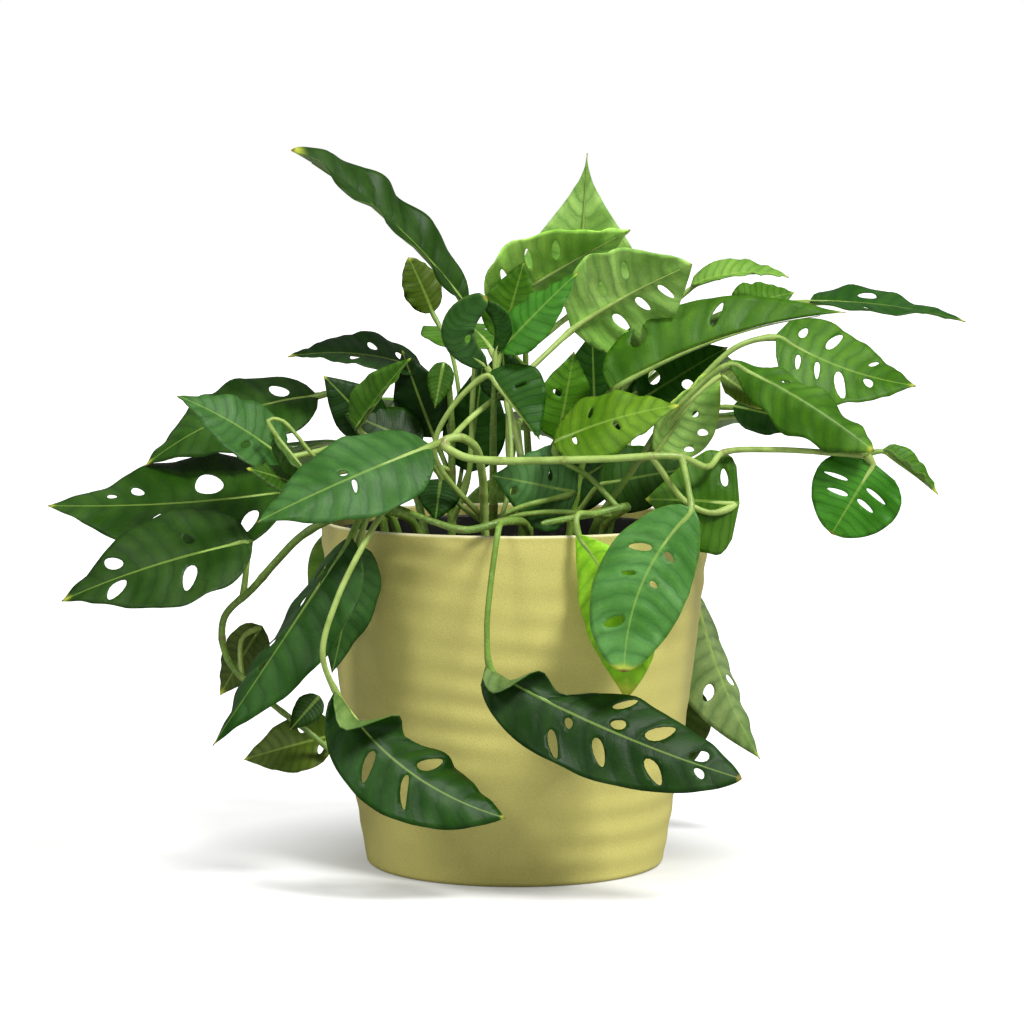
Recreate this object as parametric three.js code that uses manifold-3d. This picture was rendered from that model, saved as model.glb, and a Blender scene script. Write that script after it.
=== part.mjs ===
// A Swiss cheese plant, Monstera adansonii, in a decorative pot.
// Millimetres, +Z up. The origin is the centre of the pot's underside. The plant's front faces -Y.

import * as THREE from 'three';
import { mergeVertices } from 'three/addons/utils/BufferGeometryUtils.js';
import Module from 'manifold-3d';

// Driving dimensions: the pot.
const POT_HEIGHT = 195;
const POT_RIM_RADIUS = 110;
const POT_BASE_RADIUS = 84;
const POT_WALL = 3.5;
const POT_FLOOR = 4;
const POT_BULGE = 2.2;
const POT_EDGE = 2.5;
const POT_SIDES = 36;
// Where the pot's curved walls are divided, as shares of its height.
const OUTSIDE_SECTIONS = [0.05, 0.25, 0.45, 0.65, 0.85];
const INSIDE_SECTIONS = [0.5];

// Driving dimensions: the growing pot and its soil.
const CLEARANCE = 0.3;
const GROW_RIM_RADIUS = 101;
const GROW_BASE_RADIUS = 74;
const GROW_TOP = 189;
const GROW_WALL = 1.6;
const GROW_LIP = 3;
const GROW_LIP_DEPTH = 7;
const GROW_SIDES = 24;
const GROW_FOOT = POT_FLOOR + CLEARANCE;
const SOIL_TOP = 178;
const SOIL_CROWN = 3;
const SOIL_CROWN_SHARE = 0.6;
const SOIL_SIDES = 24;

// Driving dimensions: stems, petioles and leaves.
const STEM_RADIUS = 2.3;
const STEM_SIDES = 6;
const STEM_STEP = 20;
const ROOTED_DEPTH = 24;
const PEG_ABOVE_SOIL = 8;
const STEM_HOLE_SIDES = 8;
const PETIOLE_RADIUS = 1.6;
const PETIOLE_SIDES = 4;
const PETIOLE_STEP = 28;
// The petiole runs on under the blade between these shares of the midrib.
const PETIOLE_JOINT = [0.03, 0.14];
const BLADE_THICKNESS = 1;
const PERFORATION_SIDES = 5;

// A blade widens fast from its round base, is widest a third of the way along, and draws out to its tip.
const BASE_ROUNDNESS = 0.62;
const TIP_SHARPNESS = 1.15;
// Side veins leave the midrib and sweep forward to the margin by this share of the blade's length.
const VEIN_SWEEP = 0.45;
const VEIN_CURVE = 1.6;
// Half waves of ripple along a margin, and how far the left margin's ripple lags, in radians.
const RIPPLES = 7;
const RIPPLE_LAG = 1.3;
// Over this share of the length a folded base opens out again.
const LAPEL_FADE = 0.22;
// Round the place where it has opened, the margin is notched over this share of the length.
const NOTCH_SPREAD = 0.14;
// A cubic curve's middle reaches this share of the height of its two inner control points.
const CUBIC_REACH = 0.75;
// The side veins that divide a blade, as shares of the midrib's length.
const VEINS = [0, 0.07, 0.24, 0.41, 0.58, 0.77, 1];

const wasm = await Module();
wasm.setup();

const vector = (p) => new THREE.Vector3(...p);

// ---------------------------------------------------------------------------------------------
// Solids

/** A closed solid from a geometry whose shared vertices are merged. */
function solid(geometry) {
  geometry.deleteAttribute('normal');
  geometry.deleteAttribute('uv');
  const merged = mergeVertices(geometry, 1e-4);
  const mesh = new wasm.Mesh({
    numProp: 3,
    vertProperties: new Float32Array(merged.attributes.position.array),
    triVerts: new Uint32Array(merged.index.array),
  });
  return new wasm.Manifold(mesh);
}

/** The geometry of a solid, without the loose scraps and sealed hollows that fusing may leave. */
function geometryOf(body) {
  const pieces = body.decompose();
  const whole = pieces.reduce((best, piece) => (piece.volume() > best.volume() ? piece : best));
  const mesh = whole.getMesh();
  const geometry = new THREE.BufferGeometry();
  geometry.setAttribute('position', new THREE.BufferAttribute(mesh.vertProperties, 3));
  geometry.setIndex(new THREE.BufferAttribute(mesh.triVerts, 1));
  return geometry;
}

function node(name, geometry, material) {
  const mesh = new THREE.Mesh(geometry, material);
  mesh.name = name;
  return mesh;
}

/** A turned body about the Z axis, from a profile of [radius, height] that starts and ends on the axis. */
function turned(profile, sides) {
  const points = profile.map(([radius, height]) => new THREE.Vector2(radius, height));
  const geometry = new THREE.LatheGeometry(points, sides);
  geometry.rotateX(Math.PI / 2);
  return solid(geometry);
}

/** A round rod of a few sides along a curve. */
function rod(curve, radius, sides, step) {
  const corners = [];
  for (let i = 0; i < sides; i++) {
    const turn = (2 * Math.PI * i) / sides;
    corners.push(new THREE.Vector2(radius * Math.cos(turn), radius * Math.sin(turn)));
  }
  const steps = Math.max(3, Math.round(curve.getLength() / step));
  const options = { steps, extrudePath: curve, bevelEnabled: false };
  return solid(new THREE.ExtrudeGeometry(new THREE.Shape(corners), options));
}

// ---------------------------------------------------------------------------------------------
// The pots and the soil

/** The pot's outer radius at a height: it flares in a straight line, with a slight swell. */
function potRadius(height) {
  const rise = height / POT_HEIGHT;
  const swell = 4 * POT_BULGE * rise * (1 - rise);
  return POT_BASE_RADIUS + (POT_RIM_RADIUS - POT_BASE_RADIUS) * rise + swell;
}

function decorativePot() {
  const outside = OUTSIDE_SECTIONS.map((share) => {
    const height = share * POT_HEIGHT;
    return [potRadius(height), height];
  });
  const inside = INSIDE_SECTIONS.map((share) => {
    const height = share * POT_HEIGHT;
    return [potRadius(height) - POT_WALL, height];
  });
  const profile = [
    [0, 0],
    [potRadius(0) - POT_EDGE, 0],
    ...outside,
    [POT_RIM_RADIUS, POT_HEIGHT - 1],
    [POT_RIM_RADIUS - 1, POT_HEIGHT],
    [POT_RIM_RADIUS - POT_WALL, POT_HEIGHT],
    ...inside,
    [potRadius(POT_FLOOR) - POT_WALL, POT_FLOOR],
    [0, POT_FLOOR],
  ];
  return turned(profile, POT_SIDES);
}

function growingPot() {
  const lipFoot = GROW_TOP - GROW_LIP_DEPTH;
  const wallUnderLip = GROW_RIM_RADIUS - GROW_LIP;
  return turned([
    [0, GROW_FOOT],
    [GROW_BASE_RADIUS, GROW_FOOT],
    [wallUnderLip, lipFoot],
    [GROW_RIM_RADIUS, lipFoot],
    [GROW_RIM_RADIUS, GROW_TOP],
    [wallUnderLip - GROW_WALL, GROW_TOP],
    [GROW_BASE_RADIUS - GROW_WALL, GROW_FOOT + GROW_WALL],
    [0, GROW_FOOT + GROW_WALL],
  ], GROW_SIDES);
}

/** The soil's radius at a height, clear of the growing pot's straight inner wall. */
function soilRadius(height) {
  const wallFoot = GROW_BASE_RADIUS - GROW_WALL;
  const wallTop = GROW_RIM_RADIUS - GROW_LIP - GROW_WALL;
  const foot = GROW_FOOT + GROW_WALL;
  return wallFoot + (wallTop - wallFoot) * (height - foot) / (GROW_TOP - foot) - CLEARANCE;
}

/** The soil fills the growing pot, slightly crowned, with a plain hole for each stem. */
function soil(stemFeet) {
  const foot = GROW_FOOT + GROW_WALL + CLEARANCE;
  const edge = SOIL_TOP - SOIL_CROWN;
  let body = turned([
    [0, foot],
    [soilRadius(foot), foot],
    [soilRadius(edge), edge],
    [SOIL_CROWN_SHARE * soilRadius(edge), SOIL_TOP],
    [0, SOIL_TOP],
  ], SOIL_SIDES);
  const holeRadius = (STEM_RADIUS + CLEARANCE) / Math.cos(Math.PI / STEM_HOLE_SIDES);
  for (const [x, y] of stemFeet) {
    const hole = new THREE.CylinderGeometry(holeRadius, holeRadius, 2 * ROOTED_DEPTH, STEM_HOLE_SIDES);
    hole.rotateX(Math.PI / 2);
    hole.translate(x, y, SOIL_TOP);
    body = body.subtract(solid(hole));
  }
  return body;
}

// ---------------------------------------------------------------------------------------------
// Leaf blades

/**
 * Sets of perforations. Each has its place among the side veins, where 2.5 is midway from the second to the
 * third and a minus sign means the left half, then its start and end on the way to the margin, as shares,
 * and the share of the space between the side veins that it takes.
 */
const PERFORATIONS = {
  none: [],
  few: [[2.5, 0.16, 0.52, 0.42], [-3.4, 0.18, 0.56, 0.42]],
  some: [[1.5, 0.2, 0.52, 0.4], [3.4, 0.3, 0.7, 0.4], [-2.5, 0.16, 0.62, 0.44]],
};

/**
 * What a leaf has unless its row says otherwise. As shares of the length, arch and hook lift the midrib
 * towards the face and sway bends it to the right. In degrees, fold turns the left and right halves up, cup
 * curls both, and twist turns the tip. lapel folds the left half over by that much from the base to
 * lapelEnd, and notch is the share by which that half narrows where it opens. wave is the ripple of the
 * margins. A larger heel draws out the base, and a larger point the tip.
 */
const LEAF = {
  at: 1, via: [], width: 50, arch: 0.02, hook: 0, sway: 0, fold: [-5, -5], cup: 0, twist: 0, wave: 0.05,
  lapel: 0, lapelEnd: 0, notch: 0, heel: BASE_ROUNDNESS, point: TIP_SHARPNESS, holes: 'some',
};

/** The blade as a surface: point(s, t) for s along the midrib and t from -1, left margin, to 1, right. */
class Blade {
  constructor(row) {
    const leaf = { ...LEAF, ...row };
    this.leaf = leaf;
    this.base = vector(leaf.base);
    this.tip = vector(leaf.tip);
    const chord = this.tip.clone().sub(this.base);
    this.length = chord.length();
    const axis = chord.clone().normalize();
    this.face = vector(leaf.face).projectOnPlane(axis).normalize();
    const right = axis.clone().cross(this.face);
    const reach = this.length / CUBIC_REACH;
    const swayed = right.multiplyScalar(leaf.sway * reach);
    const rise = (share) => this.face.clone().multiplyScalar(share * reach).add(swayed);
    this.midrib = new THREE.CubicBezierCurve3(
      this.base,
      this.base.clone().addScaledVector(chord, 1 / 3).add(rise(leaf.arch)),
      this.base.clone().addScaledVector(chord, 2 / 3).add(rise(leaf.arch + leaf.hook)),
      this.tip,
    );
  }

  /** Where the side vein that leaves the midrib at s meets the margin, and where it is at t on its way. */
  margin(s) {
    return s + VEIN_SWEEP * s * (1 - s);
  }

  along(s, t) {
    return s + (this.margin(s) - s) * Math.abs(t) ** VEIN_CURVE;
  }

  halfWidth(s) {
    const { heel, point } = this.leaf;
    const widest = heel / (heel + point);
    const towardsBase = (s / widest) ** heel;
    const towardsTip = ((1 - s) / (1 - widest)) ** point;
    return 0.5 * this.leaf.width * towardsBase * towardsTip;
  }

  /** The share of its width that the left half keeps. */
  kept(margin) {
    const { lapelEnd, notch } = this.leaf;
    const away = (margin - lapelEnd - LAPEL_FADE) / NOTCH_SPREAD;
    return 1 - notch * Math.exp(-(away ** 2));
  }

  point(s, t) {
    const { fold, cup, twist, wave, lapel, lapelEnd } = this.leaf;
    const out = Math.abs(t);
    const margin = this.margin(s);
    const along = this.along(s, t);
    const across = out * this.halfWidth(margin) * (t < 0 ? this.kept(margin) : 1);
    const tangent = this.midrib.getTangent(along);
    const lift = this.face.clone().projectOnPlane(tangent).normalize();
    lift.applyAxisAngle(tangent, THREE.MathUtils.degToRad(twist * along));
    const right = tangent.clone().cross(lift);
    const opened = THREE.MathUtils.smoothstep(margin, lapelEnd, lapelEnd + LAPEL_FADE);
    const folded = t < 0 ? lapel * (1 - opened) : 0;
    const slope = THREE.MathUtils.degToRad(fold[t > 0 ? 1 : 0] + folded + 0.5 * cup * out);
    const phase = RIPPLES * Math.PI * margin + (t > 0 ? 0 : RIPPLE_LAG);
    const ripple = wave * across * out * Math.sin(phase);
    return this.midrib.getPoint(along)
      .addScaledVector(right, Math.sign(t) * across * Math.cos(slope))
      .addScaledVector(lift, across * Math.sin(slope) + ripple);
  }

  normal(s, t) {
    const step = 0.01;
    const sAt = THREE.MathUtils.clamp(s, 2 * step, 1 - 2 * step);
    const along = this.point(sAt + step, t).sub(this.point(sAt - step, t));
    const across = this.point(sAt, t + step).sub(this.point(sAt, t - step));
    return across.cross(along).normalize();
  }

  /** Where the petiole runs on under the blade, sunk into the midrib. */
  under(s) {
    return this.midrib.getPoint(s).addScaledVector(this.face, -0.5 * PETIOLE_RADIUS);
  }
}

/** A perforation's outline in blade coordinates, in the gap between the side veins at near and far. */
function perforation([place, start, end, share], near, far) {
  const middle = near + (Math.abs(place) % 1) * (far - near);
  const loop = [];
  for (let i = 0; i < PERFORATION_SIDES; i++) {
    const turn = (2 * Math.PI * i) / PERFORATION_SIDES;
    const s = middle + 0.5 * share * (far - near) * Math.sin(turn);
    const t = 0.5 * (start + end) + 0.5 * (end - start) * Math.cos(turn);
    loop.push([s, t]);
  }
  return loop;
}

/** The triangles of one gap between side veins, as [s, t] corners, left out where it is perforated. */
function gapTriangles(blade, near, far, holes) {
  const stations = blade.leaf.cup === 0 ? [0, 1] : [0, 0.5, 1];
  const vein = (s) => (s === 0 || s === 1 ? [[s, 0]] : stations.map((t) => [s, t]));
  const outline = [...vein(near), ...vein(far).reverse()];
  const loops = holes.map((hole) => perforation(hole, near, far));
  const plan = ([s, t]) => {
    const across = t * (BLADE_THICKNESS + blade.halfWidth(blade.margin(s)));
    return new THREE.Vector2(blade.along(s, t) * blade.length, across);
  };
  const spots = [outline, ...loops].flat();
  const loopPlans = loops.map((loop) => loop.map(plan));
  const triangles = THREE.ShapeUtils.triangulateShape(outline.map(plan), loopPlans);
  return triangles.map((corners) => {
    const [a, b, c] = corners.map((k) => plan(spots[k]));
    const turn = b.sub(a).cross(c.sub(a));
    return (turn > 0 ? corners : [...corners].reverse()).map((k) => spots[k]);
  });
}

/** Each half of the blade is divided at the side veins, and the gaps between them may be perforated. */
function bladeSolid(row) {
  const blade = new Blade(row);
  const spots = [];
  const known = new Map();
  const spot = (s, t) => {
    const key = `${s.toFixed(5)},${t.toFixed(5)}`;
    if (!known.has(key)) {
      known.set(key, spots.length);
      spots.push([s, t]);
    }
    return known.get(key);
  };
  const faces = [];
  const { holes: named } = blade.leaf;
  const allHoles = Array.isArray(named) ? named : PERFORATIONS[named];
  for (const side of [-1, 1]) {
    for (let gap = 1; gap < VEINS.length; gap++) {
      const holes = allHoles.filter(([place]) => side * place > gap - 1 && side * place < gap);
      for (const triangle of gapTriangles(blade, VEINS[gap - 1], VEINS[gap], holes)) {
        const face = triangle.map(([s, t]) => spot(s, side * t));
        faces.push(side > 0 ? face.reverse() : face);
      }
    }
  }
  return { blade, body: thickened(blade, spots, faces) };
}

/** Two alike faces, half a thickness to either side of the surface, and walls round every open edge. */
function thickened(blade, spots, faces) {
  const positions = [];
  for (const side of [0.5, -0.5]) {
    for (const [s, t] of spots) {
      const p = blade.point(s, t).addScaledVector(blade.normal(s, t), side * BLADE_THICKNESS);
      positions.push(p.x, p.y, p.z);
    }
  }
  const count = spots.length;
  const edges = new Set(faces.flatMap(([a, b, c]) => [`${a},${b}`, `${b},${c}`, `${c},${a}`]));
  const index = [];
  for (const [a, b, c] of faces) {
    index.push(a, b, c, count + c, count + b, count + a);
  }
  for (const edge of edges) {
    const [a, b] = edge.split(',').map(Number);
    if (!edges.has(`${b},${a}`)) {
      index.push(b, a, count + a, b, count + a, count + b);
    }
  }
  const geometry = new THREE.BufferGeometry();
  geometry.setAttribute('position', new THREE.Float32BufferAttribute(positions, 3));
  geometry.setIndex(index);
  return solid(geometry);
}

// ---------------------------------------------------------------------------------------------
// Vines: where each stem stands in the soil, the points it grows through, and its leaves.
// A leaf's petiole leaves the stem at the share `at` of its length and passes through the points `via`.

const VINES = {
  vine_left_low: {
    foot: [-62, -48],
    stem: [
      [-70, -56, 203], [-95, -76, 203], [-115, -76, 193], [-130, -71, 178], [-143, -66, 163],
      [-160, -60, 145], [-158, -64, 124], [-138, -72, 104], [-112, -76, 84], [-90, -80, 66],
    ],
    leaves: [
      { at: 0.5, via: [[-147, -62, 176]], base: [-144, -56, 188], tip: [-249, -62, 155],
        face: [0, -0.75, 0.65], width: 68, arch: 0.05, fold: [8, -4],
        holes: [
          [2.3, 0.2, 0.44, 0.3], [4.4, 0.3, 0.85, 0.4], [-4.5, 0.16, 0.88, 0.45], [-2.45, 0.24, 0.74, 0.4],
        ] },
      { at: 0.7, via: [[-150, -56, 134]], base: [-140, -50, 140], tip: [-164, -42, 100],
        face: [-0.4, -0.9, 0.2], width: 28, holes: 'none' },
      { at: 0.93, base: [-98, -66, 82], tip: [-150, -54, 66], face: [0, -0.85, 0.5], width: 38,
        fold: [14, -5], holes: [[2.5, 0.3, 0.7, 0.4], [-1.5, 0.2, 0.6, 0.4]] },
      { at: 0.85, base: [-106, -86, 106], tip: [-122, -92, 88], face: [0, -0.9, 0.4], width: 16,
        holes: 'none' },
    ],
  },
  vine_left_high: {
    foot: [-72, -10],
    stem: [[-78, -14, 210], [-92, -18, 228], [-104, -24, 236]],
    leaves: [
      { at: 0.7, via: [[-108, -16, 220]], base: [-124, -8, 212], tip: [-265, 5, 202],
        face: [0, -0.62, 0.78], width: 84, arch: -0.03,
        holes: [
          [2.6, 0.12, 0.58, 0.65], [4.2, 0.3, 0.62, 0.25], [4.75, 0.34, 0.6, 0.2], [-3.6, 0.24, 0.8, 0.45],
          [-1.5, 0.3, 0.74, 0.35],
        ] },
      { at: 0.5, via: [[-96, 18, 250], [-104, 34, 264]], base: [-113, 38, 263], tip: [-212, 25, 223],
        face: [-0.1, -0.6, 0.8], width: 62, arch: 0.1, holes: [[1.6, 0.1, 0.6, 0.5]] },
      { at: 1, via: [[-116, -34, 234]], base: [-127, -38, 231], tip: [-186, -48, 267],
        face: [0.3, -0.8, 0.5], width: 46, arch: 0.08, fold: [18, -12], heel: 0.5,
        holes: [[1.5, 0.24, 0.6, 0.3], [-2.5, 0.3, 0.66, 0.3]] },
      { at: 0.8, via: [[-108, -52, 232], [-128, -57, 254], [-135, -60, 254]], base: [-132, -61, 246],
        tip: [-96, -70, 206], face: [-0.7, -0.6, -0.3], width: 16, fold: [50, 50], holes: 'none' },
      { at: 0.9, via: [[-112, -44, 222]], base: [-118, -60, 219], tip: [-146, -74, 229],
        face: [0, -0.6, 0.8], width: 22, holes: 'none' },
    ],
  },
  vine_upper_left: {
    foot: [-36, 14],
    stem: [[-36, 12, 215], [-36, 8, 250], [-38, 6, 280]],
    leaves: [
      { at: 0.1, via: [[-27, 4, 215], [-24, 2, 262], [-23, 0, 295]], base: [-27, 2, 315],
        tip: [-124, -22, 402], face: [0.5, -0.75, 0.45], width: 46, arch: 0.04, sway: 0.04,
        fold: [34, 0], twist: 20, wave: 0.12, point: 0.6, holes: 'none' },
      { at: 0.15, via: [[-30, 20, 226], [-36, 34, 286]], base: [-47, 44, 310], tip: [-61, 40, 342],
        face: [0.3, -0.9, 0.3], width: 24, point: 0.8, holes: 'none' },
      { at: 0.6, via: [[-42, 22, 262]], base: [-52, 30, 278], tip: [-129, 14, 286],
        face: [0, -0.5, 0.85], width: 46, arch: 0.08, fold: [14, 0],
        holes: [[2.7, 0.26, 0.6, 0.35], [1.6, 0.1, 0.44, 0.4], [-3.5, 0.1, 0.75, 0.45]] },
      { at: 0.4, via: [[-74, -4, 236]], base: [-90, -8, 246], tip: [-58, -26, 287],
        face: [-0.75, -0.6, 0.3], width: 28, fold: [35, 35], holes: 'none' },
      { at: 0.15, base: [-26, 16, 220], tip: [-18, 20, 284], face: [0, -1, 0.1], width: 36, holes: 'none' },
      { at: 0.35, base: [-46, 14, 240], tip: [-64, 10, 290], face: [-0.2, -0.9, 0.1], width: 32,
        holes: 'none' },
      { at: 0.25, base: [-52, 2, 236], tip: [-98, 0, 256], face: [0, -0.8, 0.5], width: 34, holes: 'none' },
      { at: 0.3, via: [[-60, 10, 236]], base: [-76, 4, 242], tip: [-108, 0, 276],
        face: [0, -0.9, 0.3], width: 30, holes: 'none' },
      { at: 0.97, base: [-40, -4, 284], tip: [-45, -10, 258], face: [0, -1, 0], width: 15, holes: 'none' },
    ],
  },
  vine_front_left: {
    foot: [-50, -66],
    stem: [[-56, -74, 200], [-70, -84, 206], [-84, -94, 203]],
    leaves: [
      { at: 1, base: [-88, -100, 194], tip: [-162, -114, 83], face: [-0.3, -0.85, 0.45], width: 56, arch: 0,
        fold: [-2, -48],
        holes: [
          [1.6, 0.2, 0.6, 0.35], [2.4, 0.2, 0.45, 0.3], [3.5, 0.4, 0.78, 0.3], [4.2, 0.12, 0.4, 0.22],
        ] },
      { at: 0.9, base: [-84, -96, 190], tip: [-99, -92, 119], face: [0.45, -0.85, 0.1], width: 36,
        holes: 'none' },
    ],
  },
  vine_front: {
    foot: [8, -76],
    stem: [[6, -90, 199], [-4, -107, 203], [-26, -115, 199], [-43, -113, 203], [-68, -103, 212]],
    leaves: [
      { at: 0.42, via: [[-9, -118, 199], [-13, -124, 171], [-15, -126, 145]], base: [-16, -127, 127],
        tip: [119, -150, 71], face: [0.1, -0.94, 0.3], width: 58, arch: 0, sway: 0.03, fold: [-25, 0],
        lapel: 165, lapelEnd: 0.06, notch: 0.7, heel: 0.5, point: 0.75,
        holes: [
          [2.3, 0.44, 0.92, 0.2], [2.65, 0.1, 0.3, 0.18], [3.3, 0.24, 0.74, 0.26], [4.4, 0.3, 0.86, 0.3],
          [5.3, 0.16, 0.6, 0.16], [-5.2, 0.14, 0.7, 0.3], [-4.3, 0.16, 0.82, 0.36], [-3.6, 0.08, 0.34, 0.3],
          [-3.2, 0.5, 0.94, 0.24],
        ] },
      { at: 1, via: [[-78, -118, 196], [-94, -128, 164], [-102, -128, 134]], base: [-96, -120, 114],
        tip: [-5, -132, 47], face: [0.1, -0.9, 0.45], width: 56, arch: 0, sway: 0.1, fold: [-25, -5],
        lapel: 155, lapelEnd: 0.16, notch: 0.4, heel: 0.75, point: 1,
        holes: [[-3.7, 0.2, 0.84, 0.4], [2.5, 0.14, 0.74, 0.25], [3.6, 0.08, 0.78, 0.2]] },
    ],
  },
  vine_runner: {
    foot: [-16, -56],
    stem: [
      [-17, -62, 208], [-18, -72, 226], [-22, -86, 242], [-31, -92, 247], [-39, -96, 244], [-28, -99, 237],
      [-12, -101, 235], [7, -103, 235], [45, -104, 236], [88, -100, 237], [104, -92, 231], [112, -84, 238],
      [140, -89, 240], [189, -92, 237],
    ],
    leaves: [
      { at: 0.27, base: [-45, -96, 243], tip: [-136, -138, 205], face: [0.1, -0.8, 0.6], width: 54,
        arch: 0.03, fold: [-4, -12], holes: [[3.4, 0.12, 0.3, 0.25], [-3.3, 0.06, 0.42, 0.16]] },
      { at: 0.28, via: [[-24, -70, 256], [2, -46, 276]], base: [31, -24, 303], tip: [98, -34, 339],
        face: [0, 0.85, 0.5], width: 68, arch: 0.06, wave: 0.08, point: 1,
        holes: [
          [3.6, 0.3, 0.7, 0.3], [2.5, 0.14, 0.46, 0.25], [-4.6, 0.2, 0.8, 0.24], [-3.6, 0.16, 0.56, 0.34],
          [-2.4, 0.2, 0.6, 0.4],
        ] },
      { at: 0.67, via: [[92, -112, 222]], base: [95, -121, 211], tip: [57, -148, 127],
        face: [-0.1, -0.97, 0.2], width: 50, sway: 0.1, point: 0.6,
        holes: [
          [-2.3, 0.12, 0.4, 0.24], [-3.4, 0.14, 0.34, 0.2], [2.4, 0.16, 0.64, 0.26], [3.3, 0.2, 0.5, 0.16],
          [4.75, 0.14, 0.7, 0.3],
        ] },
      { at: 0.62, via: [[92, -90, 212], [106, -91, 206]], base: [121, -88, 211], tip: [70, -86, 213],
        face: [0, -0.8, 0.5], width: 58, fold: [-30, 12], heel: 0.4, holes: [[1.5, 0.3, 0.66, 0.45]] },
      { at: 1, base: [193, -93, 233], tip: [170, -96, 195], face: [0, -0.95, 0.3], width: 50, heel: 0.4,
        point: 0.6, holes: [
          [3.5, 0.14, 0.64, 0.34], [2.5, 0.3, 0.84, 0.26], [-3.4, 0.1, 0.56, 0.34], [-2.4, 0.14, 0.66, 0.3],
        ] },
      { at: 0.99, base: [198, -92, 241], tip: [228, -90, 216], face: [0.2, -0.4, 0.9], width: 18,
        fold: [35, 35], holes: 'none' },
    ],
  },
  vine_front_right: {
    foot: [46, -62],
    stem: [[50, -74, 200], [61, -84, 209], [44, -94, 206], [29, -102, 204], [14, -110, 202]],
    leaves: [
      { at: 0.65, via: [[33, -108, 206]], base: [32, -112, 197], tip: [59, -114, 108],
        face: [-0.2, -0.95, 0.1], width: 40, sway: -0.11, wave: 0.06, heel: 1, point: 1,
        holes: 'none' },
      { at: 0.3, via: [[20, -74, 205], [-6, -73, 203], [4, -74, 208]], base: [34, -66, 215],
        tip: [-13, -62, 224], face: [0, -0.9, 0.3], width: 50, heel: 0.45,
        holes: [[2.5, 0.14, 0.4, 0.3], [-4.5, 0.4, 0.8, 0.4]] },
      { at: 0.35, via: [[40, -72, 224], [22, -74, 236]], base: [20, -76, 243], tip: [89, -86, 264],
        face: [0, -0.7, 0.7], width: 44, arch: 0.06,
        holes: [[-2.4, 0.26, 0.6, 0.2], [3.5, 0.1, 0.5, 0.22], [1.6, 0.1, 0.4, 0.2]] },
    ],
  },
  vine_centre: {
    foot: [-12, -42],
    stem: [[-12, -46, 215], [-12, -58, 250], [-11, -68, 280]],
    leaves: [
      { at: 0.1, via: [[-44, -60, 236], [-34, -66, 262]], base: [-15, -71, 281], tip: [13, -84, 245],
        face: [0.1, -0.9, 0.3], width: 46, fold: [0, -110], holes: [[-2.5, 0.3, 0.6, 0.2]] },
      { at: 0.97, base: [-15, -72, 284], tip: [-15, -77, 322], face: [0, -0.95, 0.2], width: 18, sway: -0.42,
        fold: [-5, 8], heel: 0.45, point: 0.4, holes: [[2.5, 0.3, 0.8, 0.7]] },
      { at: 1, base: [-11, -71, 292], tip: [-18, -76, 319], face: [0, -0.95, 0.2], width: 10, sway: 0.28,
        fold: [-5, 10], heel: 0.5, point: 0.5, holes: 'none' },
      { at: 1, base: [-9, -70, 292], tip: [34, -72, 335], face: [-0.4, -0.8, 0.4], width: 30,
        fold: [-15, -5], holes: 'none' },
      { at: 0.1, via: [[-30, -44, 206]], base: [-41, -44, 221], tip: [-44, -50, 198],
        face: [0, -1, 0.1], width: 24, holes: 'none' },
      { at: 0.06, via: [[-3, -32, 215], [-3, -16, 250]], base: [-5, -12, 262], tip: [-7, -16, 292],
        face: [0, -1, 0.2], width: 28, holes: 'none' },
    ],
  },
  vine_top: {
    foot: [8, 6],
    stem: [[8, 6, 220], [6, 4, 260], [6, 0, 290]],
    leaves: [
      { at: 1, via: [[24, 12, 304]], base: [36, 26, 312], tip: [41, 22, 401], face: [0, 0.95, 0.3],
        width: 68, point: 2, holes: 'none' },
      { at: 0.15, via: [[-3, -6, 226], [-3, -10, 286]], base: [-14, -8, 313], tip: [64, -22, 358],
        face: [-0.2, 0.75, 0.6], width: 64, fold: [20, 0],
        holes: [[3.6, 0.24, 0.76, 0.3], [2.6, 0.3, 0.78, 0.24], [1.6, 0.2, 0.7, 0.24]] },
      { at: 0.9, base: [-7, -16, 296], tip: [5, -22, 340], face: [-0.3, -0.9, 0], width: 32,
        fold: [15, 0], holes: 'none' },
      { at: 0.3, base: [24, -8, 240], tip: [33, -12, 290], face: [0.2, -0.95, 0], width: 34,
        holes: [[-3.5, 0.2, 0.6, 0.35]] },
      { at: 0.25, via: [[30, 16, 226]], base: [46, 24, 238], tip: [44, 26, 300], face: [0, -1, 0.2],
        width: 46, holes: 'none' },
      { at: 0.1, base: [20, 4, 206], tip: [68, 6, 236], face: [0, -0.9, 0.4], width: 36, holes: 'none' },
    ],
  },
  vine_right: {
    foot: [40, -44],
    stem: [[46, -56, 200], [58, -60, 218], [72, -61, 238]],
    leaves: [
      { at: 1, via: [[101, -66, 277], [122, -62, 295]], base: [143, -54, 301], tip: [219, -60, 273],
        face: [0.1, -0.7, 0.7], width: 60, arch: -0.08,
        holes: [
          [-1.5, 0.26, 0.62, 0.3], [-2.6, 0.3, 0.9, 0.34], [-4.3, 0.44, 0.84, 0.2], [2.5, 0.1, 0.5, 0.24],
          [3.4, 0.14, 0.9, 0.4], [4.5, 0.14, 0.56, 0.34], [1.7, 0.16, 0.5, 0.24],
        ] },
      { at: 0.8, via: [[84, -74, 258]], base: [114, -84, 288], tip: [192, -102, 240],
        face: [0.2, -0.7, 0.65], width: 38, arch: 0.05, fold: [-20, -40], wave: 0.16, heel: 0.9, point: 0.8,
        holes: [[-2.5, 0.3, 0.6, 0.2]] },
      { at: 0.9, base: [76, -62, 236], tip: [112, -62, 286], face: [0.2, 0.9, 0.3], width: 42,
        fold: [-5, -60],
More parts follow.
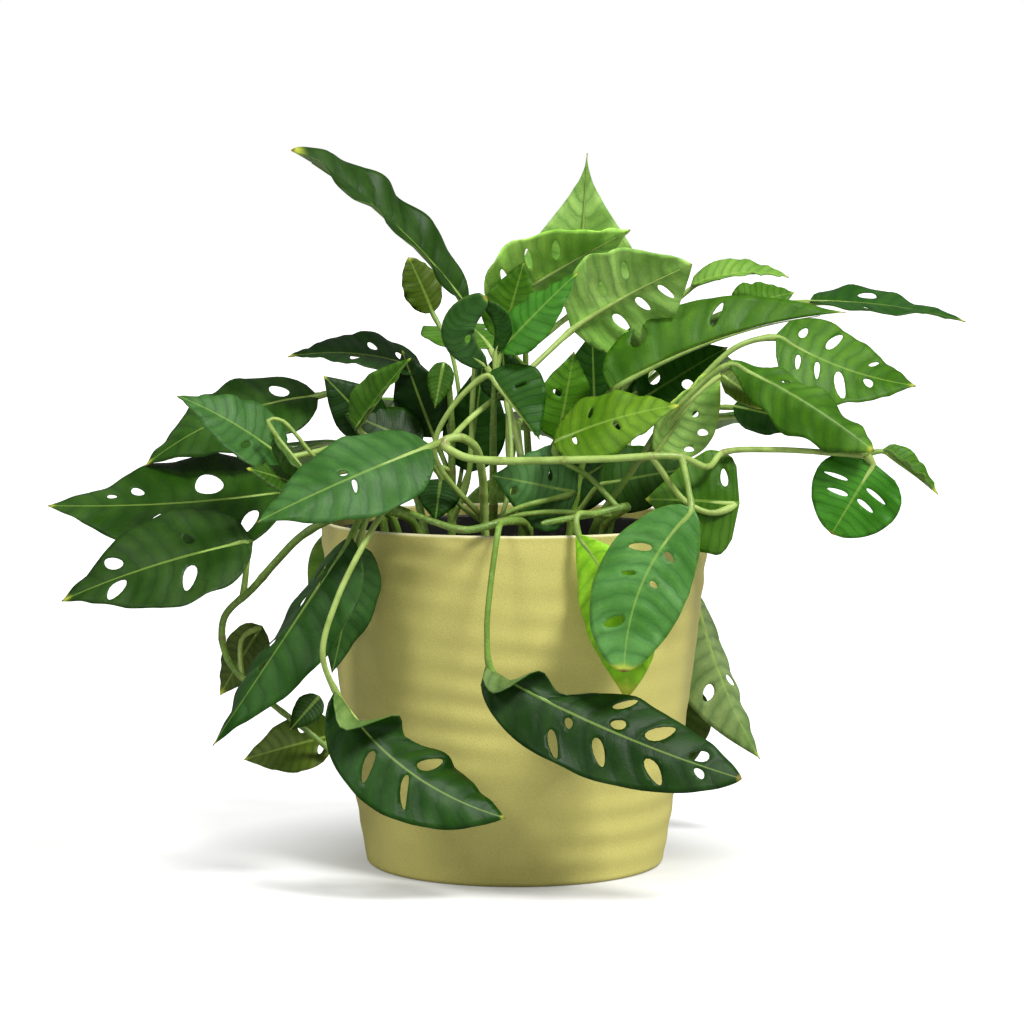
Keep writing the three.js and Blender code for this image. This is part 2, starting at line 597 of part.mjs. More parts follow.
        holes: [[-2.6, 0.6, 0.86, 0.35], [-1.6, 0.6, 0.84, 0.3], [-3.4, 0.24, 0.42, 0.35]] },
      { at: 1, via: [[96, -70, 266]], base: [112, -72, 280], tip: [138, -70, 260], face: [0, -0.7, 0.7],
        width: 18, holes: 'none' },
    ],
  },
  vine_right_high: {
    foot: [30, -10],
    stem: [[36, -14, 220], [44, -20, 250], [50, -24, 264]],
    leaves: [
      { at: 1, base: [52, -34, 269], tip: [184, -22, 312], face: [0, -0.8, 0.55], width: 60, arch: 0.02,
        sway: -0.06, fold: [0, -150], heel: 0.5, holes: [[-1.6, 0.5, 0.92, 0.35], [-3.3, 0.3, 0.86, 0.2]] },
      { at: 0.7, via: [[90, 14, 284], [140, 12, 314]], base: [166, 6, 318], tip: [255, 10, 306],
        face: [0, -0.4, 0.9], width: 46, arch: 0.04, fold: [-5, 14],
        holes: [[-2.6, 0.26, 0.74, 0.65], [2.3, 0.5, 0.84, 0.2]] },
      { at: 0.75, via: [[76, 24, 300]], base: [100, 30, 326], tip: [156, 22, 331],
        face: [0, -0.5, 0.85], width: 22, arch: 0.1, fold: [20, 20], holes: 'none' },
      { at: 0.6, base: [64, 0, 258], tip: [120, 2, 292], face: [0.1, -0.85, 0.5], width: 50,
        holes: [[-2.4, 0.12, 0.5, 0.6], [3.6, 0.2, 0.6, 0.5]] },
      { at: 0.15, base: [46, -22, 216], tip: [100, -30, 226], face: [0, -0.9, 0.4], width: 40,
        holes: 'none' },
      { at: 0.65, via: [[90, -8, 256]], base: [122, -16, 260], tip: [168, -24, 248],
        face: [0.1, -0.7, 0.7], width: 30, holes: 'none' },
      { at: 0.8, via: [[92, 26, 298]], base: [124, 30, 313], tip: [160, 36, 322], face: [0, -0.7, 0.7],
        width: 34, holes: 'none' },
    ],
  },
  vine_back_right: {
    foot: [54, 44],
    stem: [[62, 50, 210], [78, 62, 222], [93, 74, 212], [98, 78, 190]],
    leaves: [
      { at: 1, via: [[102, 78, 166]], base: [106, 68, 144], tip: [145, 74, 46], face: [0.2, -0.97, 0.1],
        width: 54, arch: 0, fold: [-60, 0], sway: 0.04,
        holes: [[-3.5, 0.3, 0.8, 0.35], [3.5, 0.3, 0.7, 0.4]] },
      { at: 0.9, via: [[98, 90, 150], [98, 96, 112]], base: [104, 94, 88], tip: [94, 88, 26],
        face: [0.6, 0.7, 0.3], width: 40, holes: 'none' },
      { at: 0.5, via: [[96, 78, 236]], base: [104, 90, 246], tip: [176, 122, 240],
        face: [0.2, 0.3, 0.9], width: 66, arch: 0.06, holes: 'few' },
      { at: 0.3, via: [[74, 92, 264]], base: [82, 108, 278], tip: [134, 190, 262], face: [0, 0.3, 0.9],
        width: 62, arch: 0.08, holes: 'few' },
    ],
  },
  vine_back: {
    foot: [4, 58],
    stem: [[4, 66, 215], [2, 80, 240], [2, 94, 244]],
    leaves: [
      { at: 0.6, via: [[-8, 84, 272]], base: [-14, 96, 288], tip: [-42, 190, 296],
        face: [0, -0.2, 0.9], width: 64, arch: 0.08, holes: 'few' },
      { at: 1, base: [16, 110, 250], tip: [30, 214, 222], face: [0, 0.4, 0.9], width: 66, arch: 0.08,
        holes: 'few' },
      { at: 1, via: [[0, 120, 230]], base: [-4, 130, 210], tip: [-12, 152, 104], face: [0, 0.95, 0.3],
        width: 60, arch: 0.06, holes: 'few' },
    ],
  },
  vine_back_left: {
    foot: [-52, 50],
    stem: [[-60, 62, 212], [-72, 80, 226], [-88, 96, 226]],
    leaves: [
      { at: 1, base: [-98, 104, 232], tip: [-152, 190, 204], face: [-0.2, 0.4, 0.9], width: 66, arch: 0.08,
        holes: 'few' },
      { at: 0.7, via: [[-70, 100, 246]], base: [-66, 112, 256], tip: [-84, 206, 232], face: [0, 0.4, 0.9],
        width: 62, arch: 0.08, holes: 'few' },
      { at: 0.5, via: [[-84, 84, 254]], base: [-100, 88, 262], tip: [-170, 124, 240],
        face: [0, 0, 1], width: 60, arch: 0.08, holes: 'few' },
      { at: 1, via: [[-92, 114, 204]], base: [-92, 120, 190], tip: [-104, 132, 84], face: [-0.4, 0.9, 0.2],
        width: 58, arch: 0.06, holes: 'some' },
    ],
  },
};

/** A stem rises from its hole as a straight peg, then grows on through its points. */
function vine({ foot, stem, leaves }) {
  const [x, y] = foot;
  const pegFoot = SOIL_TOP - ROOTED_DEPTH + CLEARANCE;
  const peg = new THREE.LineCurve3(vector([x, y, pegFoot]), vector([x, y, SOIL_TOP + PEG_ABOVE_SOIL]));
  const start = vector([x, y, SOIL_TOP + 0.5 * PEG_ABOVE_SOIL]);
  const path = new THREE.CatmullRomCurve3([start, ...stem.map(vector)]);
  let body = rod(peg, STEM_RADIUS, STEM_SIDES, ROOTED_DEPTH)
    .add(rod(path, STEM_RADIUS, STEM_SIDES, STEM_STEP));
  for (const row of leaves) {
    const { blade, body: leafBody } = bladeSolid(row);
    const { at, via } = blade.leaf;
    const joint = PETIOLE_JOINT.map((share) => blade.under(share));
    const petiole = new THREE.CatmullRomCurve3([path.getPointAt(at), ...via.map(vector), ...joint]);
    body = body.add(rod(petiole, PETIOLE_RADIUS, PETIOLE_SIDES, PETIOLE_STEP)).add(leafBody);
  }
  return body;
}

// ---------------------------------------------------------------------------------------------
// The plant in its pot

const potFinish = new THREE.MeshStandardMaterial({ color: 0xc9c182, roughness: 0.6, metalness: 0 });
const growPotFinish = new THREE.MeshStandardMaterial({ color: 0x1d1d1b, roughness: 0.5, metalness: 0 });
const soilFinish = new THREE.MeshStandardMaterial({ color: 0x2e2118, roughness: 0.95, metalness: 0 });

const plant = new THREE.Group();
plant.add(node('pot', geometryOf(decorativePot()), potFinish));
plant.add(node('grow_pot', geometryOf(growingPot()), growPotFinish));
plant.add(node('soil', geometryOf(soil(Object.values(VINES).map(({ foot }) => foot))), soilFinish));
for (const [name, row] of Object.entries(VINES)) {
  const leafFinish = new THREE.MeshStandardMaterial({ color: 0x2f6b2c, roughness: 0.42, metalness: 0 });
  plant.add(node(name, geometryOf(vine(row)), leafFinish));
}

export default plant;
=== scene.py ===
"""A Swiss cheese plant in its pot: the finished leaves, stems, pots and soil, in metres.

Sizes in the rows of leaves and stems are millimetres, with +Z up and the plant's front towards -Y.
"""

from dataclasses import dataclass

import bmesh
import bpy
import numpy as np
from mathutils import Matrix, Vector
from mathutils.geometry import delaunay_2d_cdt


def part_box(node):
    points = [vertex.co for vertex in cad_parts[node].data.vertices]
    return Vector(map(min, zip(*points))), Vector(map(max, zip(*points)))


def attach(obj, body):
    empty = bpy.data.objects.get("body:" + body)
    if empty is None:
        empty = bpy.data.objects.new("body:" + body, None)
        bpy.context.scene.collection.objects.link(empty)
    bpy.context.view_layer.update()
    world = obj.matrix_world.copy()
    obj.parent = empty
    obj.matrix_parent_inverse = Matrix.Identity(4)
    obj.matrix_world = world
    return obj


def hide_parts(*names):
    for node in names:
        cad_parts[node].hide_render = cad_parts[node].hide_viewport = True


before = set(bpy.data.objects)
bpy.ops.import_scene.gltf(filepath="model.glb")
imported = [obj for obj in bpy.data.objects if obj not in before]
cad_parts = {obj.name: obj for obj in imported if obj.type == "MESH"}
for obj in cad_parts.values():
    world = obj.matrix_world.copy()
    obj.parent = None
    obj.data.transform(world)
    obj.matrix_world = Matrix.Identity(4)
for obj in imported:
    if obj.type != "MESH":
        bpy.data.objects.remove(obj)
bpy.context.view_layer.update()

bl_info = {
    "name": "Swiss Cheese Plant in a Pot",
    "version": (1, 0, 0),
    "blender": (4, 5, 0),
    "location": "3D View > Sidebar > Plant",
    "description": "Builds a potted vine with perforated leaves round its packed frame",
    "category": "Add Mesh",
}

MM = 0.001

# The pots and the soil, taken from the frame.
POT_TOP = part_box("pot")[1].z
POT_RIM_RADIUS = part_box("pot")[1].x
POT_BASE_RADIUS = 84 * MM
POT_BULGE = 2.2 * MM
GROW_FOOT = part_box("grow_pot")[0].z
GROW_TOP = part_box("grow_pot")[1].z
GROW_RIM_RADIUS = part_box("grow_pot")[1].x
SOIL_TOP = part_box("soil")[1].z
SOIL_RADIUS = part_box("soil")[1].x

# A blade widens fast from its round base and draws out to its tip.
BASE_ROUNDNESS = 0.62
TIP_SHARPNESS = 1.15
# Side veins leave the midrib and sweep forward to the margin by this share of the blade's length.
VEIN_SWEEP = 0.45
VEIN_CURVE = 1.6
# Half waves along a waved margin, and how far the left margin's waves lag, in radians.
RIPPLES = 7
RIPPLE_LAG = 1.3
# A midrib rises by this share of the height of its two handles.
CUBIC_REACH = 0.75
# The main side veins that divide a blade, as shares of the midrib's length.
VEINS = np.array([0, 0.07, 0.24, 0.41, 0.58, 0.77, 1])
# Over this share of the length a folded base opens out again.
LAPEL_FADE = 0.22
# Round the place where it has opened, the margin is notched over this share of the length.
NOTCH_SPREAD = 0.14
# Distance from the midrib, in millimetres, at which nothing of it shows any more.
RIB_REACH = 4.0
# A margin yellows beyond this share of the way to it, over this share.
RIM_START = 0.94
RIM_SPREAD = 0.06
# In millimetres: the gap between side veins that bulges fully, how far from the midrib a bulge starts, and
# how wide the midrib's groove is.
FULL_PANEL = 22
PANEL_START = 6
GROOVE_REACH = 2.2
# How far a blade buckles, as a share of its length.
BUCKLE = 0.012
# A perforation's outline: its points for each step of the mesh, the least and most of them, how much it
# narrows towards the margin, and how far the mesh keeps away from it, in steps of the mesh.
HOLE_DETAIL = 3
HOLE_POINTS = (14, 26)
HOLE_TAPER = 0.22
HOLE_CLEARANCE = 0.45

# Sets of perforations. Each has its place among the side veins, where 2.5 is midway from the second to the
# third and a minus sign means the left half, then its start and end on the way to the margin, as shares, and
# the share of the space between the side veins that it takes.
FEW_HOLES = [(2.5, 0.16, 0.52, 0.42), (-3.4, 0.18, 0.56, 0.42)]
SOME_HOLES = [(1.5, 0.2, 0.52, 0.4), (3.4, 0.3, 0.7, 0.4), (-2.5, 0.16, 0.62, 0.44)]


@dataclass
class Look:
    """How a leaf looks.

    tint names its colour, and shade scales it lighter or darker: partly the leaf's own tone, partly painted
    light and shade for how much light falls on it where it hangs. tip is the share of its length that has
    yellowed at the tip, and rim how far its margin has. quilting is how strongly it bulges between its side
    veins, rib how clear its midrib is, and petiole how pale its petiole is, which is drawn where it is None.
    """

    tint: str
    shade: float = 1.0
    tip: float = 0.1
    rim: float = 0.0
    quilting: float = 1.0
    rib: float = 1.0
    petiole: float = None


@dataclass
class Leaf:
    """A leaf's row. Its petiole leaves the stem at the share `at` of its length and passes through `via`.

    As shares of the length, arch lifts the midrib towards the face and sway bends it to the right. In
    degrees, fold turns the left and right halves up and twist turns the tip. lapel folds the left half over
    by that much from the base to lapel_end, and notch narrows that half where it opens.
    """

    at: float
    base: tuple
    tip: tuple
    face: tuple
    width: float
    look: Look
    via: tuple = ()
    arch: float = 0.02
    sway: float = 0
    fold: tuple = (-5, -5)
    twist: float = 0
    wave: float = 0.05
    lapel: float = 0
    lapel_end: float = 0
    notch: float = 0
    heel: float = BASE_ROUNDNESS
    point: float = TIP_SHARPNESS
    holes: tuple = ()


@dataclass
class Vine:
    """Where a stem stands in the soil, the points it grows through, and its leaves."""

    foot: tuple
    stem: tuple
    leaves: tuple


# Each leaf's shade in its Look lightens or darkens its colour, partly as painted light and shade.
VINES = {
    "vine_left_low": Vine((-62, -48), [
        (-70, -56, 203), (-95, -76, 203), (-115, -76, 193), (-130, -71, 178), (-143, -66, 163),
        (-160, -60, 145), (-158, -64, 124), (-138, -72, 104), (-112, -76, 84), (-90, -80, 66),
    ], [
        Leaf(0.5, (-144, -56, 188), (-249, -62, 155), (0, -0.75, 0.65), 68, Look("dark", 0.75),
             via=[(-147, -62, 176)], arch=0.05, fold=(8, -4), holes=[(2.3, 0.2, 0.44, 0.3),
             (4.4, 0.3, 0.85, 0.4), (-4.5, 0.16, 0.88, 0.45), (-2.45, 0.24, 0.74, 0.4)]),
        Leaf(0.7, (-140, -50, 140), (-164, -42, 100), (-0.4, -0.9, 0.2), 28, Look("olive", 0.9, 0.2, 0.2),
             via=[(-150, -56, 134)]),
        Leaf(0.93, (-98, -66, 82), (-150, -54, 66), (0, -0.85, 0.5), 38, Look("olive", 1.1), fold=(14, -5),
             holes=[(2.5, 0.3, 0.7, 0.4), (-1.5, 0.2, 0.6, 0.4)]),
        Leaf(0.85, (-106, -86, 106), (-122, -92, 88), (0, -0.9, 0.4), 16, Look("dark", 0.7)),
    ]),
    "vine_left_high": Vine((-72, -10), [(-78, -14, 210), (-92, -18, 228), (-104, -24, 236)], [
        Leaf(0.7, (-124, -8, 212), (-265, 5, 202), (0, -0.62, 0.78), 84, Look("dark", 0.95, 0.06, 0.1),
             via=[(-108, -16, 220)], arch=-0.03, holes=[(2.6, 0.12, 0.58, 0.65), (4.2, 0.3, 0.62, 0.25),
             (4.75, 0.34, 0.6, 0.2), (-3.6, 0.24, 0.8, 0.45), (-1.5, 0.3, 0.74, 0.35)]),
        Leaf(0.5, (-113, 38, 263), (-212, 25, 223), (-0.1, -0.6, 0.8), 62, Look("dark", 1.1),
             via=[(-96, 18, 250), (-104, 34, 264)], arch=0.1, holes=[(1.6, 0.1, 0.6, 0.5)]),
        Leaf(1, (-127, -38, 231), (-186, -48, 267), (0.3, -0.8, 0.5), 46, Look("blue", 0.8, 0.04, 0.1),
             via=[(-116, -34, 234)], arch=0.08, fold=(18, -12), heel=0.5, holes=[(1.5, 0.24, 0.6, 0.3),
             (-2.5, 0.3, 0.66, 0.3)]),
        Leaf(0.8, (-132, -61, 246), (-96, -70, 206), (-0.7, -0.6, -0.3), 16, Look("mid", 0.6),
             via=[(-108, -52, 232), (-128, -57, 254), (-135, -60, 254)], fold=(50, 50)),
        Leaf(0.9, (-118, -60, 219), (-146, -74, 229), (0, -0.6, 0.8), 22, Look("mid", 0.6, 0.2, 0.2),
             via=[(-112, -44, 222)]),
    ]),
    "vine_upper_left": Vine((-36, 14), [(-36, 12, 215), (-36, 8, 250), (-38, 6, 280)], [
        Leaf(0.1, (-27, 2, 315), (-124, -22, 402), (0.5, -0.75, 0.45), 46, Look("dark", 0.85, 0.12),
             via=[(-27, 4, 215), (-24, 2, 262), (-23, 0, 295)], arch=0.04, sway=0.04, fold=(34, 0), twist=20,
             wave=0.12, point=0.6),
        Leaf(0.15, (-47, 44, 310), (-61, 40, 342), (0.3, -0.9, 0.3), 24, Look("olive", 1.2),
             via=[(-30, 20, 226), (-36, 34, 286)], point=0.8),
        Leaf(0.6, (-52, 30, 278), (-129, 14, 286), (0, -0.5, 0.85), 46, Look("deep", 0.8),
             via=[(-42, 22, 262)], arch=0.08, fold=(14, 0), holes=[(2.7, 0.26, 0.6, 0.35),
             (1.6, 0.1, 0.44, 0.4), (-3.5, 0.1, 0.75, 0.45)]),
        Leaf(0.4, (-90, -8, 246), (-58, -26, 287), (-0.75, -0.6, 0.3), 28, Look("mid", 0.85),
             via=[(-74, -4, 236)], fold=(35, 35)),
        Leaf(0.15, (-26, 16, 220), (-18, 20, 284), (0, -1, 0.1), 36, Look("deep", 1.3)),
        Leaf(0.35, (-46, 14, 240), (-64, 10, 290), (-0.2, -0.9, 0.1), 32, Look("deep", 0.5)),
        Leaf(0.25, (-52, 2, 236), (-98, 0, 256), (0, -0.8, 0.5), 34, Look("dark", 0.7)),
        Leaf(0.3, (-76, 4, 242), (-108, 0, 276), (0, -0.9, 0.3), 30, Look("deep", 0.7), via=[(-60, 10, 236)]),
        Leaf(0.97, (-40, -4, 284), (-45, -10, 258), (0, -1, 0), 15, Look("mid", 0.75)),
    ]),
    "vine_front_left": Vine((-50, -66), [(-56, -74, 200), (-70, -84, 206), (-84, -94, 203)], [
        Leaf(1, (-88, -100, 194), (-162, -114, 83), (-0.3, -0.85, 0.45), 56, Look("glossy", 0.62, 0.05, 0.2),
             arch=0, fold=(-2, -48), holes=[(1.6, 0.2, 0.6, 0.35), (2.4, 0.2, 0.45, 0.3),
             (3.5, 0.4, 0.78, 0.3), (4.2, 0.12, 0.4, 0.22)]),
        Leaf(0.9, (-84, -96, 190), (-99, -92, 119), (0.45, -0.85, 0.1), 36, Look("blue", 0.66, 0.05, 0, 1.3)),
    ]),
    "vine_front": Vine((8, -76), [
        (6, -90, 199), (-4, -107, 203), (-26, -115, 199), (-43, -113, 203), (-68, -103, 212),
    ], [
        Leaf(0.42, (-16, -127, 127), (119, -150, 71), (0.1, -0.94, 0.3), 58,
             Look("deep", 0.7, 0.03, 0.1, 1.1, 1, 0), via=[(-9, -118, 199), (-13, -124, 171),
             (-15, -126, 145)], arch=0, sway=0.03, fold=(-25, 0), lapel=165, lapel_end=0.06, notch=0.7,
             heel=0.5, point=0.75, holes=[(2.3, 0.44, 0.92, 0.2), (2.65, 0.1, 0.3, 0.18),
             (3.3, 0.24, 0.74, 0.26), (4.4, 0.3, 0.86, 0.3), (5.3, 0.16, 0.6, 0.16), (-5.2, 0.14, 0.7, 0.3),
             (-4.3, 0.16, 0.82, 0.36), (-3.6, 0.08, 0.34, 0.3), (-3.2, 0.5, 0.94, 0.24)]),
        Leaf(1, (-96, -120, 114), (-5, -132, 47), (0.1, -0.9, 0.45), 56,
             Look("deep", 0.95, 0.05, 0.1, 1.2, 1, 0.8), via=[(-78, -118, 196), (-94, -128, 164),
             (-102, -128, 134)], arch=0, sway=0.1, fold=(-25, -5), lapel=155, lapel_end=0.16, notch=0.4,
             heel=0.75, point=1, holes=[(-3.7, 0.2, 0.84, 0.4), (2.5, 0.14, 0.74, 0.25),
             (3.6, 0.08, 0.78, 0.2)]),
    ]),
    "vine_runner": Vine((-16, -56), [
        (-17, -62, 208), (-18, -72, 226), (-22, -86, 242), (-31, -92, 247), (-39, -96, 244), (-28, -99, 237),
        (-12, -101, 235), (7, -103, 235), (45, -104, 236), (88, -100, 237), (104, -92, 231), (112, -84, 238),
        (140, -89, 240), (189, -92, 237),
    ], [
        Leaf(0.27, (-45, -96, 243), (-136, -138, 205), (0.1, -0.8, 0.6), 54,
             Look("blue", 0.8, 0.04, 0.1, 1.1), arch=0.03, fold=(-4, -12), holes=[(3.4, 0.12, 0.3, 0.25),
             (-3.3, 0.06, 0.42, 0.16)]),
        Leaf(0.28, (31, -24, 303), (98, -34, 339), (0, 0.85, 0.5), 68, Look("backlit", 1.9, 0.03, 0.1, 2.4),
             via=[(-24, -70, 256), (2, -46, 276)], arch=0.06, wave=0.08, point=1, holes=[(3.6, 0.3, 0.7, 0.3),
             (2.5, 0.14, 0.46, 0.25), (-4.6, 0.2, 0.8, 0.24), (-3.6, 0.16, 0.56, 0.34),
             (-2.4, 0.2, 0.6, 0.4)]),
        Leaf(0.67, (95, -121, 211), (57, -148, 127), (-0.1, -0.97, 0.2), 50, Look("blue", 1.3, 0.08, 0.35),
             via=[(92, -112, 222)], sway=0.1, point=0.6, holes=[(-2.3, 0.12, 0.4, 0.24),
             (-3.4, 0.14, 0.34, 0.2), (2.4, 0.16, 0.64, 0.26), (3.3, 0.2, 0.5, 0.16),
             (4.75, 0.14, 0.7, 0.3)]),
        Leaf(0.62, (121, -88, 211), (70, -86, 213), (0, -0.8, 0.5), 58, Look("mid", 0.85, 0.1, 0.3, 1.6),
             via=[(92, -90, 212), (106, -91, 206)], fold=(-30, 12), heel=0.4, holes=[(1.5, 0.3, 0.66, 0.45)]),
        Leaf(1, (193, -93, 233), (170, -96, 195), (0, -0.95, 0.3), 50, Look("glossy", 1.75, 0.05, 0.1, 0.8),
             heel=0.4, point=0.6, holes=[(3.5, 0.14, 0.64, 0.34), (2.5, 0.3, 0.84, 0.26),
             (-3.4, 0.1, 0.56, 0.34), (-2.4, 0.14, 0.66, 0.3)]),
        Leaf(0.99, (198, -92, 241), (228, -90, 216), (0.2, -0.4, 0.9), 18, Look("mid", 1.05, 0.25, 0.3),
             fold=(35, 35)),
    ]),
    "vine_front_right": Vine((46, -62), [
        (50, -74, 200), (61, -84, 209), (44, -94, 206), (29, -102, 204), (14, -110, 202),
    ], [
        Leaf(0.65, (32, -112, 197), (59, -114, 108), (-0.2, -0.95, 0.1), 40, Look("bright", 2.0, 0.2, 0.4),
             via=[(33, -108, 206)], sway=-0.11, wave=0.06, heel=1, point=1),
        Leaf(0.3, (34, -66, 215), (-13, -62, 224), (0, -0.9, 0.3), 50, Look("blue", 0.9, 0.05, 0, 1.8),
             via=[(20, -74, 205), (-6, -73, 203), (4, -74, 208)], heel=0.45, holes=[(2.5, 0.14, 0.4, 0.3),
             (-4.5, 0.4, 0.8, 0.4)]),
        Leaf(0.35, (20, -76, 243), (89, -86, 264), (0, -0.7, 0.7), 44, Look("bright", 0.74, 0.14, 0.1),
             via=[(40, -72, 224), (22, -74, 236)], arch=0.06, holes=[(-2.4, 0.26, 0.6, 0.2),
             (3.5, 0.1, 0.5, 0.22), (1.6, 0.1, 0.4, 0.2)]),
    ]),
    "vine_centre": Vine((-12, -42), [(-12, -46, 215), (-12, -58, 250), (-11, -68, 280)], [
        Leaf(0.1, (-15, -71, 281), (13, -84, 245), (0.1, -0.9, 0.3), 46, Look("deep", 1.5, 0.08, 0.1),
             via=[(-44, -60, 236), (-34, -66, 262)], fold=(0, -110), holes=[(-2.5, 0.3, 0.6, 0.2)]),
        Leaf(0.97, (-15, -72, 284), (-15, -77, 322), (0, -0.95, 0.2), 18,
             Look("blue", 0.7, 0.04, 0.3, 1.6, 0.1), sway=-0.42, fold=(-5, 8), heel=0.45, point=0.4,
             holes=[(2.5, 0.3, 0.8, 0.7)]),
        Leaf(1, (-11, -71, 292), (-18, -76, 319), (0, -0.95, 0.2), 10, Look("deep", 1.1, 0.05, 0, 1, 0.1),
             sway=0.28, fold=(-5, 10), heel=0.5, point=0.5),
        Leaf(1, (-9, -70, 292), (34, -72, 335), (-0.4, -0.8, 0.4), 30, Look("glossy", 1.6), fold=(-15, -5)),
        Leaf(0.1, (-41, -44, 221), (-44, -50, 198), (0, -1, 0.1), 24, Look("deep", 1.2),
             via=[(-30, -44, 206)]),
        Leaf(0.06, (-5, -12, 262), (-7, -16, 292), (0, -1, 0.2), 28, Look("deep", 0.6), via=[(-3, -32, 215),
             (-3, -16, 250)]),
    ]),
    "vine_top": Vine((8, 6), [(8, 6, 220), (6, 4, 260), (6, 0, 290)], [
        Leaf(1, (36, 26, 312), (41, 22, 401), (0, 0.95, 0.3), 68, Look("backlit", 1.35), via=[(24, 12, 304)],
             point=2),
        Leaf(0.15, (-14, -8, 313), (64, -22, 358), (-0.2, 0.75, 0.6), 64, Look("bright", 2.3, 0.04, 0.1),
             via=[(-3, -6, 226), (-3, -10, 286)], fold=(20, 0), holes=[(3.6, 0.24, 0.76, 0.3),
             (2.6, 0.3, 0.78, 0.24), (1.6, 0.2, 0.7, 0.24)]),
        Leaf(0.9, (-7, -16, 296), (5, -22, 340), (-0.3, -0.9, 0), 32, Look("mid", 1.1), fold=(15, 0)),
        Leaf(0.3, (24, -8, 240), (33, -12, 290), (0.2, -0.95, 0), 34, Look("mid", 1.3),
             holes=[(-3.5, 0.2, 0.6, 0.35)]),
        Leaf(0.25, (46, 24, 238), (44, 26, 300), (0, -1, 0.2), 46, Look("deep", 1.3), via=[(30, 16, 226)]),
        Leaf(0.1, (20, 4, 206), (68, 6, 236), (0, -0.9, 0.4), 36, Look("deep")),
    ]),
    "vine_right": Vine((40, -44), [(46, -56, 200), (58, -60, 218), (72, -61, 238)], [
        Leaf(1, (143, -54, 301), (219, -60, 273), (0.1, -0.7, 0.7), 60, Look("mid", 0.95),
             via=[(101, -66, 277), (122, -62, 295)], arch=-0.08, holes=[(-1.5, 0.26, 0.62, 0.3),
             (-2.6, 0.3, 0.9, 0.34), (-4.3, 0.44, 0.84, 0.2), (2.5, 0.1, 0.5, 0.24), (3.4, 0.14, 0.9, 0.4),
             (4.5, 0.14, 0.56, 0.34), (1.7, 0.16, 0.5, 0.24)]),
        Leaf(0.8, (114, -84, 288), (192, -102, 240), (0.2, -0.7, 0.65), 38, Look("mid", 0.95, 0.08, 0.1),
             via=[(84, -74, 258)], arch=0.05, fold=(-20, -40), wave=0.16, heel=0.9, point=0.8,
             holes=[(-2.5, 0.3, 0.6, 0.2)]),
        Leaf(0.9, (76, -62, 236), (112, -62, 286), (0.2, 0.9, 0.3), 42, Look("backlit", 1.7, 0.06, 0.6),
             fold=(-5, -60), holes=[(-2.6, 0.6, 0.86, 0.35), (-1.6, 0.6, 0.84, 0.3),
             (-3.4, 0.24, 0.42, 0.35)]),
        Leaf(1, (112, -72, 280), (138, -70, 260), (0, -0.7, 0.7), 18, Look("olive", 1.4, 0.5, 0.3),
             via=[(96, -70, 266)]),
    ]),
    "vine_right_high": Vine((30, -10), [(36, -14, 220), (44, -20, 250), (50, -24, 264)], [
        Leaf(1, (52, -34, 269), (184, -22, 312), (0, -0.8, 0.55), 60, Look("mid", 0.95), sway=-0.06,
             fold=(0, -150), heel=0.5, holes=[(-1.6, 0.5, 0.92, 0.35), (-3.3, 0.3, 0.86, 0.2)]),
        Leaf(0.7, (166, 6, 318), (255, 10, 306), (0, -0.4, 0.9), 46, Look("glossy", 0.9), via=[(90, 14, 284),
             (140, 12, 314)], arch=0.04, fold=(-5, 14), holes=[(-2.6, 0.26, 0.74, 0.65),
             (2.3, 0.5, 0.84, 0.2)]),
        Leaf(0.75, (100, 30, 326), (156, 22, 331), (0, -0.5, 0.85), 22, Look("backlit", 1.3),
             via=[(76, 24, 300)], arch=0.1, fold=(20, 20)),
        Leaf(0.6, (64, 0, 258), (120, 2, 292), (0.1, -0.85, 0.5), 50, Look("deep", 2),
             holes=[(-2.4, 0.12, 0.5, 0.6), (3.6, 0.2, 0.6, 0.5)]),
        Leaf(0.15, (46, -22, 216), (100, -30, 226), (0, -0.9, 0.4), 40, Look("dark", 1.1)),
        Leaf(0.65, (122, -16, 260), (168, -24, 248), (0.1, -0.7, 0.7), 30, Look("deep", 1.2),
             via=[(90, -8, 256)]),
        Leaf(0.8, (124, 30, 313), (160, 36, 322), (0, -0.7, 0.7), 34, Look("mid", 1.3), via=[(92, 26, 298)]),
    ]),
    "vine_back_right": Vine((54, 44), [(62, 50, 210), (78, 62, 222), (93, 74, 212), (98, 78, 190)], [
        Leaf(1, (106, 68, 144), (145, 74, 46), (0.2, -0.97, 0.1), 54, Look("pale", 1.1), via=[(102, 78, 166)],
             arch=0, sway=0.04, fold=(-60, 0), holes=[(-3.5, 0.3, 0.8, 0.35), (3.5, 0.3, 0.7, 0.4)]),
        Leaf(0.9, (104, 94, 88), (94, 88, 26), (0.6, 0.7, 0.3), 40, Look("deep", 0.6), via=[(98, 90, 150),
             (98, 96, 112)]),
        Leaf(0.5, (104, 90, 246), (176, 122, 240), (0.2, 0.3, 0.9), 66, Look("mid"), via=[(96, 78, 236)],
             arch=0.06, holes=FEW_HOLES),
        Leaf(0.3, (82, 108, 278), (134, 190, 262), (0, 0.3, 0.9), 62, Look("dark"), via=[(74, 92, 264)],
             arch=0.08, holes=FEW_HOLES),
    ]),
    "vine_back": Vine((4, 58), [(4, 66, 215), (2, 80, 240), (2, 94, 244)], [
        Leaf(0.6, (-14, 96, 288), (-42, 190, 296), (0, -0.2, 0.9), 64, Look("mid"), via=[(-8, 84, 272)],
             arch=0.08, holes=FEW_HOLES),
        Leaf(1, (16, 110, 250), (30, 214, 222), (0, 0.4, 0.9), 66, Look("dark"), arch=0.08, holes=FEW_HOLES),
        Leaf(1, (-4, 130, 210), (-12, 152, 104), (0, 0.95, 0.3), 60, Look("mid"), via=[(0, 120, 230)],
             arch=0.06, holes=FEW_HOLES),
    ]),
    "vine_back_left": Vine((-52, 50), [(-60, 62, 212), (-72, 80, 226), (-88, 96, 226)], [
